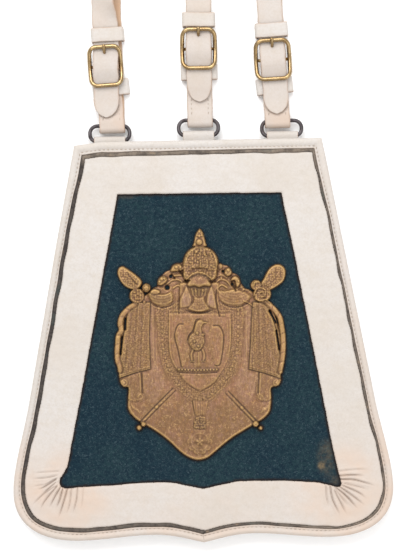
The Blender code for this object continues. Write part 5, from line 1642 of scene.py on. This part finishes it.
def carve_eagle(relief):
    for wing in (LEFT_WING, RIGHT_WING):
        relief.plate(wing, 5.0, soft=1.8, crown=0.3, line=0.0)
        outer = smooth_2d(wing[:7], False)
        relief.ribs(wing, lambda u, v, outer=outer: line_field(u, v, outer)[0], 1.8, 0.10, 0.08)
        relief.stroke(wing[:7], 0.5, -0.5, 0.95)
    relief.plate(EAGLE_TAIL, 4.9, soft=1.0, crown=0.2, line=0.1, tone=0.2)
    relief.ribs(EAGLE_TAIL, lambda u, v: u + 0.4, 1.5, 0.3, 0.2)
    relief.stroke([(-1.2, -6.0), (-1.0, -15.4)], 0.5, 0.6)
    for leg in EAGLE_LEGS:
        for side in (-1.3, 1.3):
            relief.stroke([(u + side, v) for u, v in leg], 0.45, -0.3, 0.6)
        relief.stroke(leg, 0.7, 0.5, 0.1)
        for k in (-1.2, 0.0, 1.2):
            relief.bead(leg[-1][0] + k, leg[-1][1] - 0.4, 0.7, 0.5, 0.5)
    relief.plate(EAGLE_BODY, 5.7, soft=1.2, crown=0.9, line=0.6, tone=0.5)
    relief.grain(EAGLE_BODY, 1.4, 0.35, 12, 0.7)
    relief.plate(EAGLE_HEAD, 5.8, soft=1.0, crown=0.6, line=0.0, tone=0.5)
    nape = [(-9.8, 4.0), (-8.6, 8.0), (-6.0, 11.0), (-4.6, 15.0), (-3.2, 19.4), (-0.4, 20.4)]
    relief.stroke(nape, 0.5, -0.6, 0.95)
    relief.stroke([(2.2, 18.6), (6.4, 18.0)], 0.5, -0.3, 0.5)
    for u, v, radius, rise in (
        (-2.4, 9.4, 1.4, 0.7), (2.4, 8.4, 1.3, 0.8), (-4.6, 3.0, 1.2, 0.6), (-1.6, -0.6, 1.2, 0.6),
    ):
        relief.bead(u, v, radius, rise, 0.7)
    relief.cord(THUNDERBOLT, 1.6, 4.6, 0.5, 1.9, 0.4, 0.8, 0.6)
    relief.beads(THUNDERBOLT, 2.5, 1.0, 0.6, 0.9)
    relief.stroke([(-16.4, -21.4), (-2.0, -22.0), (12.8, -21.4)], 0.45, -0.4, 0.9)


def carve_helm(relief):
    ground = [(-16.6, 49.0), (15.0, 49.0), (15.0, 26.5), (-16.6, 26.5)]
    relief.plate(ground, 4.2, soft=1.6, line=0.0, smooth=False)
    for points, sign in ((LEFT_MANTLING, -1), (RIGHT_MANTLING, 1)):
        relief.plate(points, 5.0, soft=1.4, crown=0.6, line=0.3, tone=-0.95)
        relief.ribs(points, lambda u, v, sign=sign: u - sign * (v - 30) * 0.2, 3.4, 0.16, 0.06, 1.0)
    relief.plate(THROAT, 5.3, soft=1.6, crown=0.6, line=0.4, tone=0.35)
    relief.grain(THROAT, 1.8, 0.25, 17, 0.3)
    relief.stroke([(-11.4, 27.2), (-6.0, 25.4), (-1.0, 24.8), (4.4, 25.4), (9.2, 27.2)], 0.5, -0.5, 0.9)
    relief.stroke([(-9.0, 28.2), (-5.0, 27.0), (-1.0, 26.6), (3.4, 27.0), (7.0, 28.2)], 0.55, 0.35)
    relief.plate(VISOR, 4.3, soft=1.4, line=0.3, tone=0.7)
    # Painted shade in the visor's recess
    relief.darken(VISOR, 0.42, 1.6)
    for u in (-6.6, -3.8, -1.0, 1.8, 4.6):
        relief.stroke([(u, 43.6), (u * 0.8 - 0.2, 38.6)], 0.6, 0.7, -0.25)
    relief.bead(-3.4, 42.2, 1.3, 0.6, 0.2)
    relief.bead(2.4, 42.6, 1.4, 0.7, 0.2)
    relief.plate(HELM_DOME, 6.4, soft=1.3, crown=0.7, tone=0.1)
    relief.darken(HELM_DOME, 0.16, 1.4)
    relief.stroke([(-9.6, 47.4), (-4.6, 47.6), (-0.8, 47.0), (3.0, 47.6), (7.8, 47.4)], 0.6, 0.2)
    relief.stroke(DOME_RIM, 0.55, -0.5, 0.9)
    relief.stroke([(12.6, 43.0), (12.2, 35.4), (13.4, 28.4), (15.0, 22.4)], 0.5, -0.8, 0.9)
    relief.stroke([(-16.4, 43.4), (-16.8, 34.0), (-16.6, 24.6)], 0.45, -0.5, 0.4)
    for u in (-18.2, -20.0):
        relief.stroke([(u, 41.0), (u - 0.3, 30.0), (u + 0.6, 24.0)], 0.5, 0.35, 0.12)
    for u in (16.8, 18.6):
        relief.stroke([(u - 3.0, 34.0), (u, 24.0)], 0.5, 0.35, 0.12)
        relief.bead(u, 23.4, 1.1, 0.5, 0.2)


def carve_swags(relief):
    for side, swag, rim in (
        ("left", LEFT_SWAG, [(-39.6, 33.0), (-35.6, 29.6), (-30.0, 27.9), (-24.0, 29.0), (-20.0, 31.6)]),
        ("right", RIGHT_SWAG, [(16.6, 31.6), (22.6, 28.6), (28.6, 28.2), (34.0, 29.8), (38.6, 32.6)]),
    ):
        relief.plate(swag, 4.3, soft=2.6, crown=0.8, line=0.0, tone=0.85 if side == "left" else 0.3)
        centre = SWAG_CENTRES[side]
        relief.ribs(swag, lambda u, v, c=centre: np.hypot(u - c[0], v - c[1]), 2.1, 0.22, 0.08)
        relief.stroke(rim, 0.6, 0.35)
        relief.stroke([(u, v + 1.3) for u, v in rim], 0.45, -0.3, 0.75)
    knob = [(-39.0, 42.0), (-36.0, 43.9), (-31.8, 42.8), (-31.4, 40.4), (-35.0, 39.4), (-38.4, 40.2)]
    relief.plate(knob, 5.0, soft=0.9, crown=0.8, line=0.5)
    for points in (LEFT_LEAF, LEFT_ARCH, RIGHT_LEAF, RIGHT_ARCH):
        relief.plate(points, 4.8, soft=1.0, crown=1.2, tone=0.25)
    for points in SCROLL_LINES:
        relief.stroke(points, 0.8, 1.0)
        relief.stroke([(u, v - 1.4) for u, v in points], 0.5, -0.3, 0.45)
    for u, v, radius, rise in (
        (-30.0, 51.6, 1.6, 1.2), (-31.8, 49.4, 1.2, 1.0), (-27.8, 51.8, 1.1, 0.9), (-18.6, 60.8, 1.5, 1.0),
        (-15.4, 60.8, 1.2, 0.8), (15.4, 61.3, 2.2, 1.2), (13.6, 58.6, 1.3, 1.0), (21.8, 58.6, 1.6, 1.0),
        (19.8, 56.0, 1.1, 0.8), (29.8, 50.0, 1.2, 0.9), (16.4, 52.6, 1.2, 0.8), (33.8, 43.4, 1.2, 0.8),
    ):
        relief.bead(u, v, radius, rise, 0.4)
    for start, end in (
        ((24.6, 48.7), (27.6, 42.6)), ((-16.6, 58.4), (-13.2, 53.6)), ((-22.4, 55.0), (-20.0, 51.8)),
    ):
        relief.stroke([start, end], 0.7, -1.6, 1.0)


def carve_heads(relief):
    """Sceptre heads, the knots under them, and the ropes."""
    for rope in (LEFT_ROPE, RIGHT_ROPE):
        relief.cord(rope, ROPE_HALF + 0.15, 2.2, 2.0, 7.4, 0.25, 0.16, 0.4)
    for head, seed in ((LEFT_HEAD, 21), (RIGHT_HEAD, 22)):
        relief.plate(head, 3.6, soft=1.2, crown=1.6, line=0.2, tone=0.35)
        points, middle = np.array(head), np.mean(head, axis=0)
        relief.grain((points * 0.80 + middle * 0.20).tolist(), 1.8, 0.6, seed, 0.6)
        relief.stroke(smooth_2d((points * 0.86 + middle * 0.14).tolist()), 0.6, 0.2, 0.0, False)
    relief.stroke([(-56.8, 56.4), (-52.8, 51.0), (-49.2, 47.0)], 0.6, -0.6, 0.5)
    for u, v, radius in ROUND_PARTS:
        angles = np.linspace(0, 2 * math.pi, 13)[:-1]
        circle = [(u + radius * math.cos(a), v + radius * math.sin(a)) for a in angles]
        relief.plate(circle, 3.8, soft=1.0, crown=1.4, line=0.4, tone=0.1)
        relief.grain(circle, 1.8, 0.7, 60 + round(u), 0.4)
    relief.grain([(-55.6, 38.4), (-49.4, 44.6), (-43.2, 38.4), (-49.4, 32.4)], 2.6, 1.4, 5, 0.5)
    relief.bead(-42.0, 44.6, 2.0, 0.9, 0.7)
    relief.bead(-43.6, 33.6, 1.4, 0.9, 0.6)
    for points in (
        [(41.6, 39.0), (43.6, 43.4), (47.4, 44.6), (50.6, 42.4), (50.2, 38.6), (47.4, 37.6)],
        [(43.0, 36.0), (46.6, 34.6), (50.6, 35.6), (53.6, 33.6)], [(46.0, 40.8), (48.4, 41.6), (48.8, 39.6)],
        [(41.4, 46.2), (42.6, 49.0), (45.6, 49.4), (47.0, 46.8)], [(52.8, 41.4), (54.2, 38.4), (51.8, 36.2)],
        [(34.0, 34.4), (37.4, 33.0), (40.6, 30.4)],
    ):
        relief.stroke(points, 0.7, 1.0)
        relief.stroke([(u + 0.6, v - 1.4) for u, v in points], 0.5, -0.4, 0.5)


def carve_crown(relief):
    relief.plate(CROWN, 4.8, soft=1.6, crown=2.8, line=0.5, tone=0.35)
    relief.grain(CROWN, 1.9, 0.5, 33, 0.45)
    rng = np.random.default_rng(17)
    for k in (-3.0, -1.6, 0.2, 1.5, 3.0):
        arch = []
        for step in range(6):
            v = 60.8 + step * 3.0
            half = 13.4 * math.sqrt(max(0.05, 1 - ((v - 60) / 19.5) ** 2))
            arch.append((half * math.sin(k / 3.3) - 0.6 + rng.uniform(-0.7, 0.7), v + rng.uniform(-0.4, 0.4)))
        relief.stroke(arch, 0.8, 0.35)
        relief.stroke([(u + 1.3, v) for u, v in arch[:-1]], 0.45, -0.25, 0.25)
    for _ in range(36):
        v = rng.uniform(61, 76)
        half = 12.4 * math.sqrt(1 - ((v - 60) / 19.5) ** 2)
        relief.bead(rng.uniform(-half, half) - 0.6, v, rng.uniform(0.9, 1.5), rng.uniform(0.3, 0.6), 0.35)
    band = [(-12.8, 51.4), (-13.6, 57.0), (-9.0, 59.4), (-0.8, 61.0), (7.6, 59.4), (13.2, 56.8), (11.6, 51.4),
            (8.4, 51.6), (4.0, 55.4), (-1.0, 56.6), (-6.0, 55.4), (-10.6, 51.2)]
    relief.plate(band, 5.6, soft=2.0, crown=0.4, line=0.1)
    relief.grain(band, 2.1, 0.7, 31, 0.7)
    relief.stroke([(-11.4, 50.6), (-6.4, 55.2), (-1.0, 56.8), (4.4, 55.4), (9.2, 51.4)], 0.5, 0.4, 0.0)
    relief.plate(FINIAL, 4.4, soft=0.9, crown=1.2, line=0.6, tone=0.3)
    relief.bead(-0.8, 80.2, 2.6, 1.7, 0.8)
    for u, v, radius in ((-0.8, 88.4, 1.2), (-2.6, 85.4, 1.1), (1.2, 85.4, 1.1), (-0.8, 85.0, 1.3)):
        relief.bead(u, v, radius, 0.9, 0.5)


def carve_order(relief):
    """Staves, ribbon, small crown and cross below the shield."""
    for stave in STAVES:
        relief.cord(stave, 0.8, 3.0, 0.35, 3.4, 0.3, 0.4, 0.6)
        foot_u, foot_v = stave[-1]
        relief.bead(foot_u, foot_v, 1.9, 0.8, 0.5)
        sign = 1 if foot_u > 0 else -1
        relief.bead(foot_u + sign * 2.4, foot_v - 3.6, 1.6, 1.0, 0.5)
        middle_u, middle_v = stave[1]
        relief.bead(middle_u, middle_v, 1.7, 0.7, 0.4)
        for off, dark in ((1.2, 1.0), (-1.2, 0.5)):
            relief.stroke([(u + sign * off, v + off * 0.8) for u, v in stave], 0.42, -0.4, dark)
    relief.plate(RIBBON, 3.4, soft=1.2, crown=0.3, line=0.15, smooth=False)
    relief.ribs(RIBBON, lambda u, v: u * 12 / (5.2 + (v + 54.6) * 0.12) / 2, 1.9, 0.28, 0.2)
    relief.stroke([RIBBON[0], RIBBON[3]], 0.45, -0.4, 0.6)
    relief.plate(ORDER_CROWN, 3.4, soft=1.0, crown=0.5, line=0.3, smooth=False, tone=0.5)
    relief.grain(ORDER_CROWN, 1.7, 0.5, 77, 1.0)
    relief.darken(ORDER_CROWN, 0.3, 1.5)
    relief.stroke([(-4.8, -64.2), (0.0, -64.8), (4.2, -64.2)], 0.5, 0.5, 0.2)
    area = relief.part([CROSS_AT], 14)
    u, v = relief.u[area] - CROSS_AT[0], relief.v[area] - CROSS_AT[1]
    turn = (np.arctan2(u, v) * CROSS_ARMS / (2 * np.pi) + 0.5) % 1 - 0.5
    reach = CROSS_REACH * (0.86 + 0.14 * np.abs(np.sin(turn * np.pi * 2.0)))
    gap = np.hypot(u, v)
    arm = np.minimum(reach - gap, (0.36 - np.abs(turn)) * gap * 1.25 + 0.4)
    share = ease(arm / 1.2 + 0.3)
    relief.height[area] += (3.25 + 0.3 * ease((0.34 - np.abs(turn)) / 0.3) - relief.height[area]) * share
    # Painted shade along the cross's outline and down each arm's middle
    relief.shade[area] += 0.15 * np.exp(-((arm + 0.4) / 0.45) ** 2) * (gap < CROSS_REACH + 1.5)
    relief.shade[area] += 0.12 * np.clip(1 - np.abs(turn) / 0.04, 0, 1) * (gap > 3.6) * (arm > 0.4)
    relief.bead(*CROSS_AT, 3.0, 0.5, 0.25)
    relief.bead(*CROSS_AT, 1.4, 0.3, 0.2)
    wreath = [(CROSS_AT[0] + 6.6 * math.sin(a), CROSS_AT[1] + 6.6 * math.cos(a))
              for a in np.linspace(0, 2 * math.pi, 17)]
    relief.stroke(wreath, 0.6, 0.28, 0.1)


def carve(relief):
    for carve_part in (carve_mantle, carve_collar, carve_eagle, carve_order, carve_swags, carve_crown,
                       carve_helm, carve_heads):
        carve_part(relief)
    lower = 0.45 * ease((-38 - relief.v) / 14)
    relief.tone = np.where(relief.tone < 0, relief.tone, np.maximum(relief.tone, lower))
    relief.height += waves(relief.u, relief.v, PLAQUE_WAVES)


def make_plaque():
    relief = Relief()
    shape = plaque_shape(relief.u, relief.v)
    carve(relief)
    height = relief.height * (0.55 + 0.45 * ease(shape / 0.9))
    flat, used, faces = trimmed_grid(relief.u, relief.v, shape, PLAQUE_PITCH)
    near, wide = height - blurred(height, 1), height - blurred(height, 3)
    hollow = np.clip(-wide / 0.9, 0, 1) * 0.35 + np.clip(-near / 0.25, 0, 1) * 0.25
    rubbed = np.clip(wide / 1.2, 0, 1) * 0.25 + np.clip(near / 0.22, 0, 1) * 0.35
    u, v = flat.T * MM
    x = PLAQUE_AT[0] + u * math.cos(PLAQUE_TURN) - v * math.sin(PLAQUE_TURN)
    y = PLAQUE_AT[1] + u * math.sin(PLAQUE_TURN) + v * math.cos(PLAQUE_TURN)
    values = {
        "hollow": np.clip(hollow, 0, 1), "rubbed": np.clip(rubbed, 0, 1),
        # The relief's painted shade and darkening, for the brass's darkest colour
        "crease": np.clip(relief.shade * 0.75, 0, 0.8), "olive": np.clip(relief.tone, 0, 1),
        "pale": np.clip(-relief.tone, 0, 1), "z": FRONT_Z + height * MM,
    }
    values = {key: grid.ravel()[used] for key, grid in values.items()}
    points = np.column_stack([x, y, values.pop("z")])
    close_below(piece("plaque", points, faces, "old_brass", replaces=["plaque"], **values), FRONT_Z)


def to_plaque(x, y):
    """A place on the panel, in metres, in the plaque's own frame, in millimetres."""
    dx, dy = (x - PLAQUE_AT[0]) / MM, (y - PLAQUE_AT[1]) / MM
    cos, sin = math.cos(PLAQUE_TURN), math.sin(PLAQUE_TURN)
    return dx * cos + dy * sin, dy * cos - dx * sin


# Stage: the floor's side, the sky's strength, and the lamps by name with place, side and power
FLOOR_SIDE, SKY_STRENGTH = 6.0, 0.62
LAMPS = [("key", (-0.25, 1.05, 1.35), 1.2, 17.0), ("fill", (0.9, -0.5, 1.5), 1.2, 6.0)]
SENSOR_HEIGHT, CLIP_END = 24.0, 20.0


def make_stage():
    bpy.ops.mesh.primitive_plane_add(size=FLOOR_SIDE, location=(0, 0, 0))
    floor = bpy.context.object
    floor.name = "floor"
    floor.data.materials.append(LOOKS["floor_paint"])
    world = bpy.data.worlds.new("studio")
    bpy.context.scene.world = world
    world.use_nodes = True
    sky = world.node_tree.nodes["Background"].inputs
    sky["Color"].default_value = (1.0, 1.0, 1.0, 1.0)
    sky["Strength"].default_value = SKY_STRENGTH * LIGHT_GAIN
    for name, place, size, power in LAMPS:
        light = bpy.data.lights.new(name, "AREA")
        light.shape = "SQUARE"
        light.size = size
        light.energy = power * LIGHT_GAIN
        lamp = bpy.data.objects.new(name, light)
        bpy.context.scene.collection.objects.link(lamp)
        lamp.location = place
        lamp.rotation_euler = (Vector(AIM) - Vector(place)).to_track_quat("-Z", "Y").to_euler()


def make_camera():
    data = bpy.data.cameras.new("camera")
    data.sensor_fit = "VERTICAL"
    data.sensor_height = SENSOR_HEIGHT
    data.angle = 2 * math.atan(VIEW_HEIGHT / 2 / CAMERA_HEIGHT)
    data.clip_end = CLIP_END
    camera = bpy.data.objects.new("camera", data)
    bpy.context.scene.collection.objects.link(camera)
    camera.location = (AIM[0], AIM[1], AIM[2] + CAMERA_HEIGHT)
    camera.rotation_euler = (0.0, 0.0, -math.radians(ROLL_DEG))
    bpy.context.scene.camera = camera


make_binding()
make_binding_stitches()
make_piping()
make_border()
make_cloth()
make_panel()
make_pouch()
make_slings()
make_plaque()
make_stage()
make_camera()
bpy.context.scene.view_settings.view_transform = "Standard"
